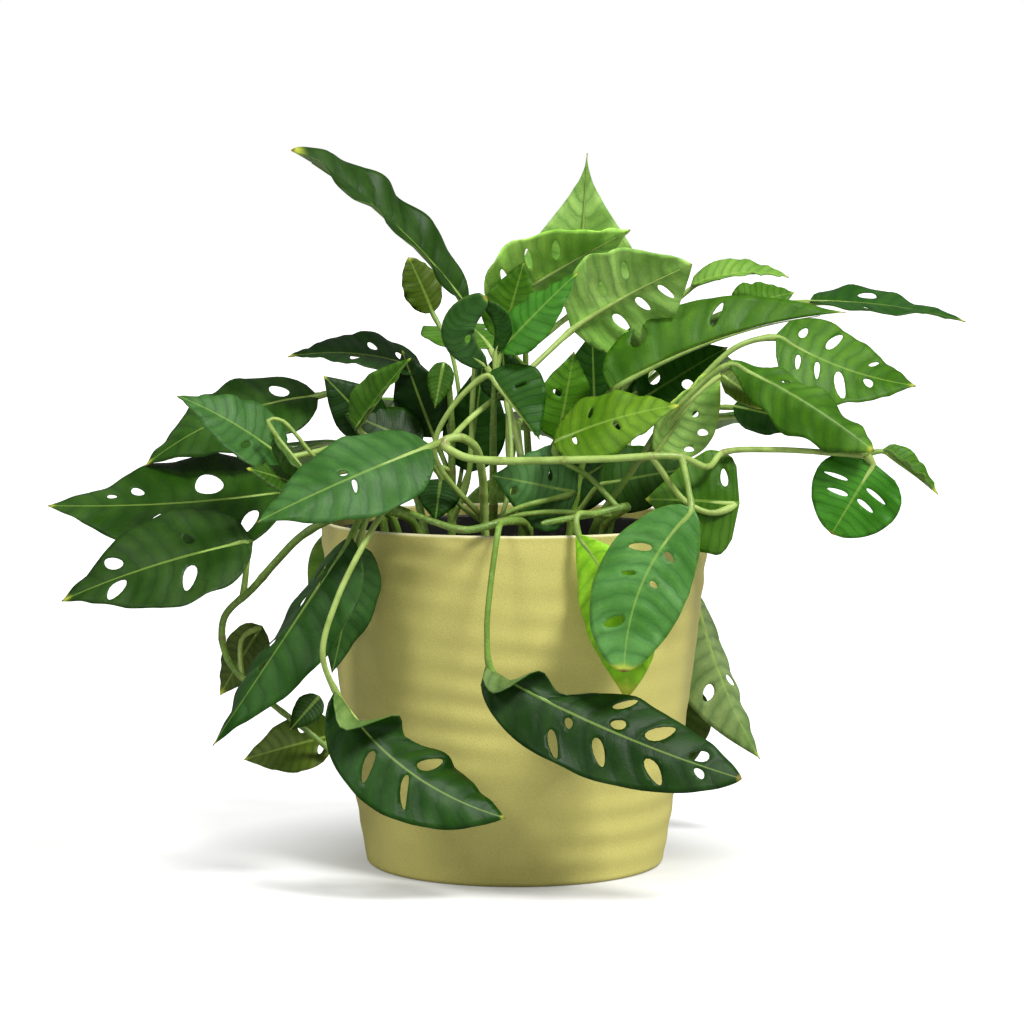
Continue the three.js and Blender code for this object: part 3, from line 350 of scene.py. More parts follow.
        Leaf(1, (-98, 104, 232), (-152, 190, 204), (-0.2, 0.4, 0.9), 66, Look("mid"), arch=0.08,
             holes=FEW_HOLES),
        Leaf(0.7, (-66, 112, 256), (-84, 206, 232), (0, 0.4, 0.9), 62, Look("backlit"), via=[(-70, 100, 246)],
             arch=0.08, holes=FEW_HOLES),
        Leaf(0.5, (-100, 88, 262), (-170, 124, 240), (0, 0, 1), 60, Look("dark"), via=[(-84, 84, 254)],
             arch=0.08, holes=FEW_HOLES),
        Leaf(1, (-92, 120, 190), (-104, 132, 84), (-0.4, 0.9, 0.2), 58, Look("mid"), via=[(-92, 114, 204)],
             arch=0.06, holes=SOME_HOLES),
    ]),
}


def srgb(red, green, blue):
    """A display colour of 0 to 255 as the linear colour that Blender's sockets hold."""
    shares = [value / 255 for value in (red, green, blue)]
    return tuple(s / 12.92 if s <= 0.04045 else ((s + 0.055) / 1.055) ** 2.4 for s in shares)


def unit(vector):
    return vector / np.linalg.norm(vector, axis=-1, keepdims=True)


def smooth(x):
    """Rises from 0 to 1 with no kink while x goes from 0 to 1."""
    x = np.clip(x, 0, 1)
    return x * x * (3 - 2 * x)


# --- Settings ---

def colour_property(name, description, value):
    return bpy.props.FloatVectorProperty(name=name, description=description, default=value, subtype="COLOR",
                                         size=3, min=0, max=1)


def length_property(name, description, value):
    return bpy.props.FloatProperty(name=name, description=description, default=value, min=0,
                                   subtype="DISTANCE", unit="LENGTH", precision=4)


def number_property(name, description, value):
    return bpy.props.FloatProperty(name=name, description=description, default=value)


def count_property(name, description, value, least=0):
    return bpy.props.IntProperty(name=name, description=description, default=value, min=least)


class PotSettings(bpy.types.PropertyGroup):
    """The decorative pot and the growing pot inside it."""

    wall: length_property("Wall", "Thickness of the decorative pot's wall", 3.5 * MM)
    rim_round: length_property("Rim Rounding", "Radius of the rim's two edges", 1.3 * MM)
    base_round: length_property("Base Rounding", "Radius of the edge round the base", 3 * MM)
    ripple_depth: length_property("Ripple Depth", "Height of the soft ridges on the wall", 0.45 * MM)
    steps: count_property("Turning Steps", "Faces round the pot", 192, 12)
    clay: colour_property("Clay", "Colour of the matt wall", srgb(216, 208, 118))
    # A painted highlight along the rim's edge.
    rim_highlight: colour_property("Edge", "Paler colour along the rim's edge", srgb(232, 226, 186))
    plastic: colour_property("Growing Pot", "Colour of the growing pot", srgb(26, 26, 24))


class SoilSettings(bpy.types.PropertyGroup):
    """The crumbs on the soil."""

    crumb: length_property("Crumb", "Radius of a crumb", 1.7 * MM)
    density: number_property("Density", "Crumbs on a square metre", 62000)
    seed: count_property("Seed", "Seed of the crumbs' places", 11)
    dark: colour_property("Damp", "Colour of the damp mix", srgb(40, 29, 20))
    light: colour_property("Dry", "Colour of dry bark bits", srgb(104, 80, 56))


class LeafSettings(bpy.types.PropertyGroup):
    """The leaf blades."""

    thickness: length_property("Thickness", "Thickness of a blade", 0.6 * MM)
    grain: length_property("Mesh Grain", "Spacing of a blade's points", 2.3 * MM)
    quilting: length_property("Quilting", "How far a blade bulges between side veins", 0.9 * MM)
    groove: length_property("Midrib Groove", "Depth of the groove over the midrib", 0.7 * MM)
    crinkle: length_property("Crinkle", "Height of the small waves along a margin", 0.7 * MM)
    seed: count_property("Seed", "Seed of what differs between leaves", 5)
    dark: colour_property("Dark", "Colour of older leaves", srgb(46, 84, 14))
    deep: colour_property("Deep", "Colour of the darkest leaves", srgb(30, 72, 4))
    mid: colour_property("Mid", "Colour of half-grown leaves", srgb(76, 124, 24))
    glossy: colour_property("Glossy", "Colour of large leaves that catch the light", srgb(50, 104, 22))
    bright: colour_property("Bright", "Colour of young leaves", srgb(120, 168, 34))
    # Painted backlight: the glow of light shining through leaves seen against it, painted into their colour.
    backlit: colour_property("Backlit", "Colour of leaves seen against the light", srgb(112, 154, 62))
    blue: colour_property("Blue-green", "Colour of leaves with a bloom", srgb(72, 122, 56))
    olive: colour_property("Olive", "Colour of ageing leaves", srgb(80, 100, 26))
    pale: colour_property("Pale", "Colour of shaded small leaves", srgb(124, 150, 88))
    underside: colour_property("Underside", "Colour that undersides fade to", srgb(150, 184, 106))
    vein: colour_property("Vein", "Colour of midribs", srgb(158, 190, 84))
    yellow: colour_property("Yellow", "Colour of ageing tips and margins", srgb(182, 196, 64))
    dried: colour_property("Dried", "Colour of the dried point of a tip", srgb(124, 98, 52))


class StemSettings(bpy.types.PropertyGroup):
    """The stems and petioles."""

    stem: length_property("Stem Radius", "Radius of a stem", 2.3 * MM)
    petiole: length_property("Petiole Radius", "Radius of a petiole", 1.6 * MM)
    sides: count_property("Sides", "Faces round a stem", 10, 5)
    seed: count_property("Seed", "Seed of the colours of stems", 23)
    green: colour_property("Green", "Colour of stems", srgb(120, 158, 56))
    pale: colour_property("Pale", "Colour of young petioles", srgb(182, 206, 112))
    brown: colour_property("Node", "Colour of the scars at nodes", srgb(120, 86, 48))


class StageSettings(bpy.types.PropertyGroup):
    """The floor, lights and camera."""

    floor: colour_property("Floor", "Colour of the pale floor", (0.62, 0.62, 0.62))
    floor_bounce: colour_property("Floor Bounce", "Colour that the floor throws up", (0.42, 0.42, 0.42))
    floor_glow: number_property("Floor Glow", "Light under the floor", 0.7)
    # Painted shadow: the weaker glow by the pot darkens the floor round its foot.
    foot_shadow_glow: number_property("Foot Glow", "Light under the floor by the pot", 0.2)
    sun: number_property("Key Light", "Strength of the key light", 3.3)
    softness: bpy.props.FloatProperty(name="Softness", description="Angle that the key light covers",
                                      default=np.radians(16), subtype="ANGLE", unit="ROTATION")
    fill: number_property("Fill Light", "Strength of the light from the left", 0.9)
    ambient: number_property("Surroundings", "Light from all round", 0.3)


class PlantSettings(bpy.types.PropertyGroup):
    """All the sizes and colours of the potted plant."""

    pot: bpy.props.PointerProperty(type=PotSettings)
    soil: bpy.props.PointerProperty(type=SoilSettings)
    leaf: bpy.props.PointerProperty(type=LeafSettings)
    stem: bpy.props.PointerProperty(type=StemSettings)
    stage: bpy.props.PointerProperty(type=StageSettings)


# --- Node trees ---

class Field:
    """A node's output. Sums and products of fields add the nodes that work them out."""

    def __init__(self, nodes, socket):
        self.nodes = nodes
        self.socket = socket

    def __add__(self, other):
        return self.nodes.math("ADD", self, other)

    def __sub__(self, other):
        return self.nodes.math("SUBTRACT", self, other)

    def __rsub__(self, other):
        return self.nodes.math("SUBTRACT", other, self)

    def __mul__(self, other):
        return self.nodes.math("MULTIPLY", self, other)


class Nodes:
    """A node tree under construction."""

    def __init__(self, tree):
        self.tree = tree

    def feed(self, socket, value):
        """Gives an input its value, or links the field that feeds it."""
        if isinstance(value, Field):
            self.tree.links.new(value.socket, socket)
        else:
            socket.default_value = (*value, 1.0) if socket.type == "RGBA" else value

    def add(self, kind, inputs=None, **settings):
        """Adds a node with these inputs and settings, and gives its outputs as fields by name or number."""
        node = self.tree.nodes.new(kind)
        for name, value in settings.items():
            setattr(node, name, value)
        for name, value in (inputs or {}).items():
            self.feed(node.inputs[name], value)
        fields = {}
        for place, socket in enumerate(node.outputs):
            fields[place] = Field(self, socket)
            fields.setdefault(socket.name, fields[place])
        return fields

    def math(self, operation, first, second=0.0):
        return self.add("ShaderNodeMath", {0: first, 1: second}, operation=operation)[0]

    def spread(self, share, low, high):
        """From low to high while the share goes from 0 to 1."""
        return self.add("ShaderNodeMapRange", {"Value": share, "To Min": low, "To Max": high})[0]

    def ramp(self, value, low, high):
        """0 below low and 1 above high, or the other way round where low is above high."""
        ends = {"Value": value, "From Min": min(low, high), "From Max": max(low, high)}
        if low > high:
            ends.update({"To Min": 1.0, "To Max": 0.0})
        return self.add("ShaderNodeMapRange", ends, interpolation_type="SMOOTHSTEP")[0]

    def mix(self, share, first, second, blend_type="MIX"):
        return self.add("ShaderNodeMix", {0: share, 6: first, 7: second}, data_type="RGBA",
                        blend_type=blend_type)[2]

    def tint(self, colour, tint):
        """A colour multiplied by another one."""
        return self.mix(1.0, colour, tint, "MULTIPLY")

    def mottle(self, scale, detail=3.0, low=0.35, high=0.65):
        """Soft blotches as a mask of 0 to 1."""
        given = {"Scale": scale, "Detail": detail, "Low": low, "High": high}
        return self.add("ShaderNodeGroup", given, node_tree=mottle_group())["Mask"]


def mottle_group():
    """Soft blotches in the piece's own space, shared by all finishes. Mask is 0 to 1."""
    known = bpy.data.node_groups.get("mottle")
    if known:
        return known
    tree = bpy.data.node_groups.new("mottle", "ShaderNodeTree")
    for name in ("Scale", "Detail", "Low", "High"):
        tree.interface.new_socket(name, in_out="INPUT", socket_type="NodeSocketFloat")
    tree.interface.new_socket("Mask", in_out="OUTPUT", socket_type="NodeSocketFloat")
    nodes = Nodes(tree)
    given = nodes.add("NodeGroupInput")
    grain = {"Vector": nodes.add("ShaderNodeTexCoord")["Object"], "Scale": given["Scale"],
             "Detail": given["Detail"]}
    noise = nodes.add("ShaderNodeTexNoise", grain)["Fac"]
    ends = {"Value": noise, "From Min": given["Low"], "From Max": given["High"]}
    mask = nodes.add("ShaderNodeMapRange", ends, interpolation_type="SMOOTHSTEP")["Result"]
    nodes.add("NodeGroupOutput", {"Mask": mask})
    return tree


def new_material(name, roughness):
    """A material with its nodes and its Principled shader."""
    material = bpy.data.materials.new(name)
    material.use_nodes = True
    shader = material.node_tree.nodes["Principled BSDF"]
    shader.inputs["Roughness"].default_value = roughness
    return material, Nodes(material.node_tree), shader


def finish_shader(nodes, shader, colour, roughness, height, relief):
    """Feeds a shader its colour, its roughness and a bump of the given height, in metres."""
    bump = {"Height": height, "Distance": relief, "Strength": 1.0}
    nodes.feed(shader.inputs["Base Color"], colour)
    nodes.feed(shader.inputs["Roughness"], roughness)
    nodes.feed(shader.inputs["Normal"], nodes.add("ShaderNodeBump", bump)["Normal"])


def clay_material(pot):
    """Matt, finely speckled clay, with a painted highlight along the edge of the rim."""
    material, nodes, shader = new_material("speckled_clay", 0.62)
    cloud = nodes.mottle(22, 4)
    speckle = nodes.mottle(1500, 2, 0.3, 0.7)
    colour = nodes.mix(cloud, [c * 0.96 for c in pot.clay], pot.clay)
    colour = nodes.mix(speckle, nodes.tint(colour, (0.88, 0.87, 0.82)), colour)
    place = nodes.add("ShaderNodeTexCoord")["Object"]
    height = nodes.add("ShaderNodeSeparateXYZ", {0: place})["Z"]
    # Painted highlight: the top edge of the rim is paled towards a lighter colour.
    edge = nodes.ramp(height, POT_TOP - 1.6 * MM, POT_TOP - 0.6 * MM)
    colour = nodes.mix(edge * 0.75, colour, pot.rim_highlight)
    finish_shader(nodes, shader, colour, nodes.spread(cloud, 0.56, 0.68), speckle, 0.06 * MM)
    return material


def plastic_material(pot):
    """Dull black plastic with a little dust."""
    material, nodes, shader = new_material("growing_pot_plastic", 0.5)
    dust = nodes.mottle(120, 4, 0.5, 0.75)
    colour = nodes.mix(dust * 0.3, pot.plastic, (0.12, 0.1, 0.08))
    finish_shader(nodes, shader, colour, nodes.spread(dust, 0.4, 0.7), dust, 0.1 * MM)
    return material


def soil_material(soil):
    """Damp potting mix with drier bits."""
    material, nodes, shader = new_material("potting_mix", 0.95)
    bits = nodes.mottle(160, 3, 0.5, 0.72)
    grit = nodes.mottle(900)
    colour = nodes.mix(bits, soil.dark, soil.light)
    colour = nodes.mix(grit, nodes.tint(colour, (0.6, 0.6, 0.6)), colour)
    finish_shader(nodes, shader, colour, nodes.spread(bits, 0.82, 1.0), grit, 0.5 * MM)
    return material


def leaf_material(leaf_settings):
    """A glossy blade: pale midrib, painted shade in its vein grooves, painted light between them, yellowed
    tips.

    The blade attribute holds the place among the side veins, the distance from the midrib in millimetres, and
    the share of the length.
    """
    material, nodes, shader = new_material("leaf_blade", 0.4)
    tissue = nodes.add("ShaderNodeAttribute", attribute_name="tissue")["Color"]
    blade = nodes.add("ShaderNodeAttribute", attribute_name="blade")["Vector"]
    ageing = nodes.add("ShaderNodeAttribute", attribute_name="ageing")["Fac"]
    parts = nodes.add("ShaderNodeSeparateXYZ", {0: blade})
    phase, across, along = parts["X"], parts["Y"], parts["Z"]
    cloud = nodes.mottle(30, 3, 0.3, 0.7)
    blotch = nodes.mottle(110, 4, 0.3, 0.7)
    grain = nodes.mottle(900, 3, 0.3, 0.7)

    # There are two side veins to each step of the phase, and three fine veins to each of those.
    beat = phase * 2.0 + (blotch - 0.5) * 0.24
    to_vein = nodes.math("PINGPONG", beat, 0.5)
    vein_groove = nodes.ramp(to_vein, 0.26, -0.06) * (cloud + 0.3)
    fine_groove = nodes.ramp(nodes.math("PINGPONG", beat * 3.0, 0.5), 0.2, 0.03) * blotch
    rib = nodes.ramp(across - (1.2 - along) * 0.8, 0.35, -0.15)
    panel = nodes.ramp(to_vein, 0.05, 0.5) * (blotch + 0.2)

    colour = nodes.mix(cloud, nodes.tint(tissue, (0.5, 0.62, 0.4)), tissue)
    # Painted light: the bulges between the side veins are lightened and greyed, as if catching the light and
    # its sheen.
    colour = nodes.mix(panel * 0.6, colour, nodes.tint(colour, (1.55, 1.38, 1.3)))
    # Painted shade: the vein grooves and fine veins are darkened; the grain's darkening is the tissue's own
    # texture.
    darker = nodes.tint(colour, (0.45, 0.56, 0.36))
    colour = nodes.mix(fine_groove * 0.18, colour, darker)
    colour = nodes.mix(vein_groove * 0.42, colour, darker)
    colour = nodes.mix(grain * 0.22, colour, darker)
    colour = nodes.mix(rib * 0.7, colour, nodes.mix(0.5, colour, leaf_settings.vein))
    yellowed = ageing * (blotch * 0.4 + 0.75)
    colour = nodes.mix(nodes.ramp(yellowed, 0.15, 0.95), colour, leaf_settings.yellow)
    colour = nodes.mix(nodes.ramp(along, 0.972, 0.992) * 0.85, colour, leaf_settings.dried)

    nodes.feed(shader.inputs["Specular IOR Level"], nodes.spread(cloud, 0.12, 0.28))
    height = grain * 0.25 - vein_groove - fine_groove * 0.3
    finish_shader(nodes, shader, colour, nodes.spread(cloud, 0.42, 0.56), height, 0.12 * MM)
    return material


def stem_material(stem_settings):
    """Smooth green stems, flecked with a paler green and brown at the nodes."""
    material, nodes, shader = new_material("stem_skin", 0.45)
    tissue = nodes.add("ShaderNodeAttribute", attribute_name="tissue")["Color"]
    scar = nodes.add("ShaderNodeAttribute", attribute_name="scar")["Fac"]
    cloud = nodes.mottle(110, 4)
    fleck = nodes.mottle(620, 3, 0.52, 0.7)
    patch = nodes.mottle(300, 2, 0.45, 0.62)
    colour = nodes.mix(cloud, nodes.tint(tissue, (0.72, 0.74, 0.64)), tissue)
    colour = nodes.mix(fleck * 0.35, colour, stem_settings.pale)
    colour = nodes.mix(scar * patch * 0.6, colour, stem_settings.brown)
    finish_shader(nodes, shader, colour, nodes.spread(cloud, 0.38, 0.55), fleck, 0.05 * MM)
    return material


# The floor's glow rises between these two distances from the pot's axis: a painted shadow round the pot's
# foot.
GLOW_START = 0.09
GLOW_END = 0.2


def floor_material(stage_settings):
    """A pale floor lit from below to the eye, throwing less light than it shows, with a painted shadow by the
    pot.
    """
    material, nodes, shader = new_material("pale_floor", 0.7)
    seen = nodes.add("ShaderNodeLightPath")["Is Camera Ray"]
    base = nodes.mix(seen, stage_settings.floor_bounce, stage_settings.floor)
    colour = nodes.mix(nodes.mottle(4, 2), nodes.tint(base, (0.99, 0.99, 0.99)), base)
    place = nodes.add("ShaderNodeTexCoord")["Object"]
    reach = nodes.add("ShaderNodeVectorMath", {0: place}, operation="LENGTH")["Value"]
    glow = nodes.add("ShaderNodeMapRange", {
        "Value": reach, "From Min": GLOW_START, "From Max": GLOW_END,
        "To Min": stage_settings.foot_shadow_glow, "To Max": stage_settings.floor_glow})["Result"]
    nodes.feed(shader.inputs["Base Color"], colour)
    nodes.feed(shader.inputs["Emission Color"], seen)
    nodes.feed(shader.inputs["Emission Strength"], glow)
    return material


# --- Meshes and geometry nodes ---

def plain_object(name, vertices, edges, faces):
    """A new object in the scene with a mesh of these metres."""
    mesh = bpy.data.meshes.new(name)
    mesh.from_pydata(vertices, edges, faces)
    return shown(name, mesh)


def shown(name, data):
    """A new object in the scene."""
    thing = bpy.data.objects.new(name, data)
    bpy.context.scene.collection.objects.link(thing)
    return thing


def store(mesh, name, kind, values):
    """Keeps a value for each vertex under a name that materials and node trees read."""
    attribute = mesh.attributes.new(name, kind, "POINT")
    field = {"FLOAT": "value", "FLOAT_VECTOR": "vector", "FLOAT_COLOR": "color"}[kind]
    if kind == "FLOAT_COLOR":
        values = np.column_stack([values, np.ones(len(values))])
    attribute.data.foreach_set(field, np.asarray(values, np.float32).ravel())


def geometry_tree(name, inputs):
    """A geometry node tree with a geometry in and out and these named inputs, as {name: (kind, value)}."""
    tree = bpy.data.node_groups.new(name, "GeometryNodeTree")
    tree.interface.new_socket("Geometry", in_out="INPUT", socket_type="NodeSocketGeometry")
    tree.interface.new_socket("Geometry", in_out="OUTPUT", socket_type="NodeSocketGeometry")
    for label, (kind, value) in inputs.items():
        socket = tree.interface.new_socket(label, in_out="INPUT", socket_type="NodeSocket" + kind)
        socket.default_value = value
    tree.interface.new_socket("Material", in_out="INPUT", socket_type="NodeSocketMaterial")
    nodes = Nodes(tree)
    return tree, nodes, nodes.add("NodeGroupInput")


def close_tree(nodes, geometry, material):
    """Ends a tree with real geometry, no instances, in the given material."""
    real = nodes.add("GeometryNodeRealizeInstances", {"Geometry": geometry})["Geometry"]
    painted = nodes.add("GeometryNodeSetMaterial", {"Geometry": real, "Material": material})["Geometry"]
    nodes.add("NodeGroupOutput", {"Geometry": painted})


def grown(guide, tree, values):
    """Runs a tree on a guide object and gives a plain mesh piece in its place, with the guide's name."""
    modifier = guide.modifiers.new("build", "NODES")
    modifier.node_group = tree
    sockets = {item.name: item.identifier for item in tree.interface.items_tree if item.in_out == "INPUT"}
    for name, value in values.items():
        modifier[sockets[name]] = value
    name, rough = guide.name, guide.data
    graph = bpy.context.evaluated_depsgraph_get()
    mesh = bpy.data.meshes.new_from_object(guide.evaluated_get(graph), preserve_all_data_layers=True,
                                           depsgraph=graph)
    guide.modifiers.remove(modifier)
    bpy.data.objects.remove(guide)
    bpy.data.meshes.remove(rough)
    mesh.name = name
    mesh.polygons.foreach_set("use_smooth", [True] * len(mesh.polygons))
    return shown(name, mesh)


def place_in_frame(piece, slot, *nodes):
    """Lets the piece ride with the plant's one body and stand for these nodes. Its slot is not used."""
    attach(piece, "root")
    if nodes:
        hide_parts(*nodes)


# --- The pots and the soil ---

# The profiles are turned on a ring of this radius, and what lies this near the axis is one point.
HUB = 40 * MM
POLE_RADIUS = 0.02 * MM
RIPPLE_PITCH = 15.5 * MM
# Rows of faces up the outside of the wall, where the ridges are, and down its plain inside.
WALL_ROWS = 90
INNER_ROWS = 24


def turning_tree():
    """Turns a profile round the pot's axis, and pushes soft level ridges out of its wall.

    The guide holds the profile's points as (radius less the hub's radius, minus the height, 0).
    """
    tree, nodes, given = geometry_tree("turning", {
        "Turning Steps": ("Int", 96), "Ripple Depth": ("Float", 0.0),
        "Ripple Pitch": ("Float", RIPPLE_PITCH)})
    profile = nodes.add("GeometryNodeMeshToCurve", {"Mesh": given["Geometry"]})["Curve"]
    hub = {"Resolution": given["Turning Steps"], "Radius": HUB}
    circle = nodes.add("GeometryNodeCurvePrimitiveCircle", hub)["Curve"]
    ring = nodes.add("GeometryNodeSetCurveNormal", {"Curve": circle}, mode="Z_UP")[0]
    body = nodes.add("GeometryNodeCurveToMesh", {"Curve": ring, "Profile Curve": profile})["Mesh"]
    parts = nodes.add("ShaderNodeSeparateXYZ", {0: nodes.add("GeometryNodeInputPosition")[0]})

    def wave(across, upwards, start, axis="X"):
        turn = parts[axis] * across + start
        return nodes.math("SINE", parts["Z"] * upwards + turn)

    tilt = wave(20, 0, 0.6) * 2.2 + wave(24, 16, 2.0, "Y")
    rows = parts["Z"] * nodes.math("DIVIDE", 2 * np.pi, given["Ripple Pitch"])
    ridge = nodes.math("SINE", rows + tilt)
    push = ridge * (wave(33, -52, 1.0) * 0.4 + 0.6) * given["Ripple Depth"]
    level = nodes.add("ShaderNodeCombineXYZ", {"X": parts["X"], "Y": parts["Y"]})[0]
    scaling = {0: level, "Scale": nodes.math("DIVIDE", push, POT_RIM_RADIUS)}
    offset = nodes.add("ShaderNodeVectorMath", scaling, operation="SCALE")[0]
    rippled = nodes.add("GeometryNodeSetPosition", {"Geometry": body, "Offset": offset})["Geometry"]
    close_tree(nodes, rippled, given["Material"])
    return tree


def turned_piece(name, profile, tree, values):
    """A closed turned piece from a profile of (radius, height) that starts and ends at the axis."""
    points = [(radius - HUB, -height, 0) for radius, height in profile]
    guide = plain_object(name, points, [(i, i + 1) for i in range(len(points) - 1)], [])
    piece = grown(guide, tree, values)
    close_poles(piece.data)
    return piece


def close_poles(mesh):
    """Merges the tiny rings at the axis into poles and turns all faces outwards."""
    body = bmesh.new()
    body.from_mesh(mesh)
    bmesh.ops.remove_doubles(body, verts=body.verts, dist=POLE_RADIUS)
    bmesh.ops.recalc_face_normals(body, faces=body.faces)
    body.to_mesh(mesh)
    body.free()


def arc(centre, radius, start, end, count=5):
    """Points of an arc from start to end, in quarter turns, as (radius, height)."""
    turns = np.linspace(start, end, count) * np.pi / 2
    return [(centre[0] + radius * np.cos(a), centre[1] + radius * np.sin(a)) for a in turns]


def wall_radius(height):
    """The pot's outer radius: it flares in a straight line, with a slight swell."""
    rise = height / POT_TOP
    return POT_BASE_RADIUS + (POT_RIM_RADIUS - POT_BASE_RADIUS) * rise + 4 * POT_BULGE * rise * (1 - rise)


def pot_profile(pot):
    """From the axis under the base, up the wall, over the rim and down to the floor inside."""
    base, rim, wall = pot.base_round, pot.rim_round, pot.wall
    floor, fillet = 4 * MM, 2 * MM
    foot = (wall_radius(base) - base, base)
    outside = [(wall_radius(h), h) for h in np.linspace(2 * base, POT_TOP - 2 * rim, WALL_ROWS)]
    inside = [(wall_radius(h) - wall, h) for h in np.linspace(POT_TOP - 2 * rim, 3 * wall, INNER_ROWS)]
    return [
        (0.0, 0.0), (0.5 * foot[0], 0.0), *arc(foot, base, -1, 0), *outside,
        *arc((POT_RIM_RADIUS - rim, POT_TOP - rim), rim, 0, 1),
        *arc((POT_RIM_RADIUS - wall + rim, POT_TOP - rim), rim, 1, 2),
        *inside, (wall_radius(floor) - wall - fillet, floor), (0.0, floor),
    ]


def grow_pot_profile():
    """A thin pot with a turned-down lip."""
    wall, lip, lip_depth, edge = 1.2 * MM, 3 * MM, 7 * MM, 0.4 * MM
    base = 74 * MM
    under_lip = GROW_RIM_RADIUS - lip
    lip_foot = GROW_TOP - lip_depth
    return [
        (0.0, GROW_FOOT), (base - MM, GROW_FOOT), (base, GROW_FOOT + MM), (under_lip, lip_foot),
        (GROW_RIM_RADIUS - edge, lip_foot), (GROW_RIM_RADIUS, lip_foot + edge),
        *arc((GROW_RIM_RADIUS - MM, GROW_TOP - MM), MM, 0, 1), *arc((under_lip, GROW_TOP - MM), MM, 1, 2),
        (under_lip - wall, lip_foot - lip_depth), (base - wall, GROW_FOOT + 2 * wall),
        (0.0, GROW_FOOT + 2 * wall),
    ]


def crumb_tree():
    """Scatters rough crumbs of many sizes over a surface."""
    tree, nodes, given = geometry_tree("crumbs", {
        "Crumb Radius": ("Float", 1.6 * MM), "Density": ("Float", 60000.0), "Seed": ("Int", 1)})
    spread = {"Mesh": given["Geometry"], "Density": given["Density"], "Seed": given["Seed"]}
    spots = nodes.add("GeometryNodeDistributePointsOnFaces", spread)["Points"]
    ball = {"Radius": given["Crumb Radius"], "Subdivisions": 1}
    crumb = nodes.add("GeometryNodeMeshIcoSphere", ball)["Mesh"]

    def drawn(least, most):
        ends = {"Min": least, "Max": most, "Seed": given["Seed"]}
        return nodes.add("FunctionNodeRandomValue", ends, data_type="FLOAT_VECTOR")[0]

    turn = drawn((0, 0, 0), (6.28, 6.28, 6.28))
    size = drawn((0.45, 0.4, 0.35), (2.1, 1.3, 0.9))
    laid = {"Points": spots, "Instance": crumb, "Rotation": turn, "Scale": size}
    close_tree(nodes, nodes.add("GeometryNodeInstanceOnPoints", laid)["Instances"], given["Material"])
    return tree


def soil_surface():
    """Rings of points over the soil, slightly crowned and uneven, as vertices and faces."""
    spokes, rings = 48, 16
    rim, level, sink, lumps = 0.985, 0.6, 3 * MM, 0.6 * MM
    points = [(0.0, 0.0, SOIL_TOP)]
    for ring in range(1, rings + 1):
        radius = SOIL_RADIUS * rim * ring / rings
        drop = sink * max(0.0, ring / rings - level) / (1 - level)
        for spoke in range(spokes):
            turn = 2 * np.pi * spoke / spokes
            lump = lumps * np.sin(3 * turn + ring) * np.cos(0.9 * ring)
            points.append((radius * np.cos(turn), radius * np.sin(turn), SOIL_TOP - drop + lump))
    faces = [(0, 1 + k, 1 + (k + 1) % spokes) for k in range(spokes)]
    for ring in range(rings - 1):
        start = 1 + ring * spokes
        for k in range(spokes):
            after = (k + 1) % spokes
            faces.append((start + k, start + spokes + k, start + spokes + after, start + after))
    return points, faces


# --- Paths ---

# Points worked out between two given ones, before the path is divided evenly.
CURVE_SAMPLES = 24


def reach_along(path):
    """How far along its path each point lies."""
    return np.concatenate([[0], np.cumsum(np.linalg.norm(np.diff(path, axis=0), axis=1))])


def smooth_path(points, step):
    """Evenly spaced points, a step apart, on the smooth curve through the given ones."""
    points = np.array(points, float)
    ends = [2 * points[0] - points[1], *points, 2 * points[-1] - points[-2]]
    curve = []
    for before, start, end, after in zip(ends, ends[1:], ends[2:], ends[3:]):
        gaps = [np.linalg.norm(b - a) ** 0.5 for a, b in ((before, start), (start, end), (end, after))]
        first, middle, last = gaps
        leave = (start - before) / first - (end - before) / (first + middle) + (end - start) / middle
        arrive = (end - start) / middle - (after - start) / (middle + last) + (after - end) / last
        leave, arrive = leave * middle, arrive * middle
        share = np.linspace(0, 1, CURVE_SAMPLES, endpoint=False)[:, None]
        curve.append(start + leave * share + (3 * (end - start) - 2 * leave - arrive) * share**2
                     + (2 * (start - end) + leave + arrive) * share**3)
    curve = np.vstack([*curve, points[-1:]])
    reach = reach_along(curve)
    count = max(4, int(round(reach[-1] / step)) + 1)
    marks = np.linspace(0, reach[-1], count)
    return np.column_stack([np.interp(marks, reach, curve[:, k]) for k in range(3)])


# --- Leaf blades ---

def margin_of(s):
    """Where the side vein that leaves the midrib at s meets the margin."""
    return s + VEIN_SWEEP * s * (1 - s)


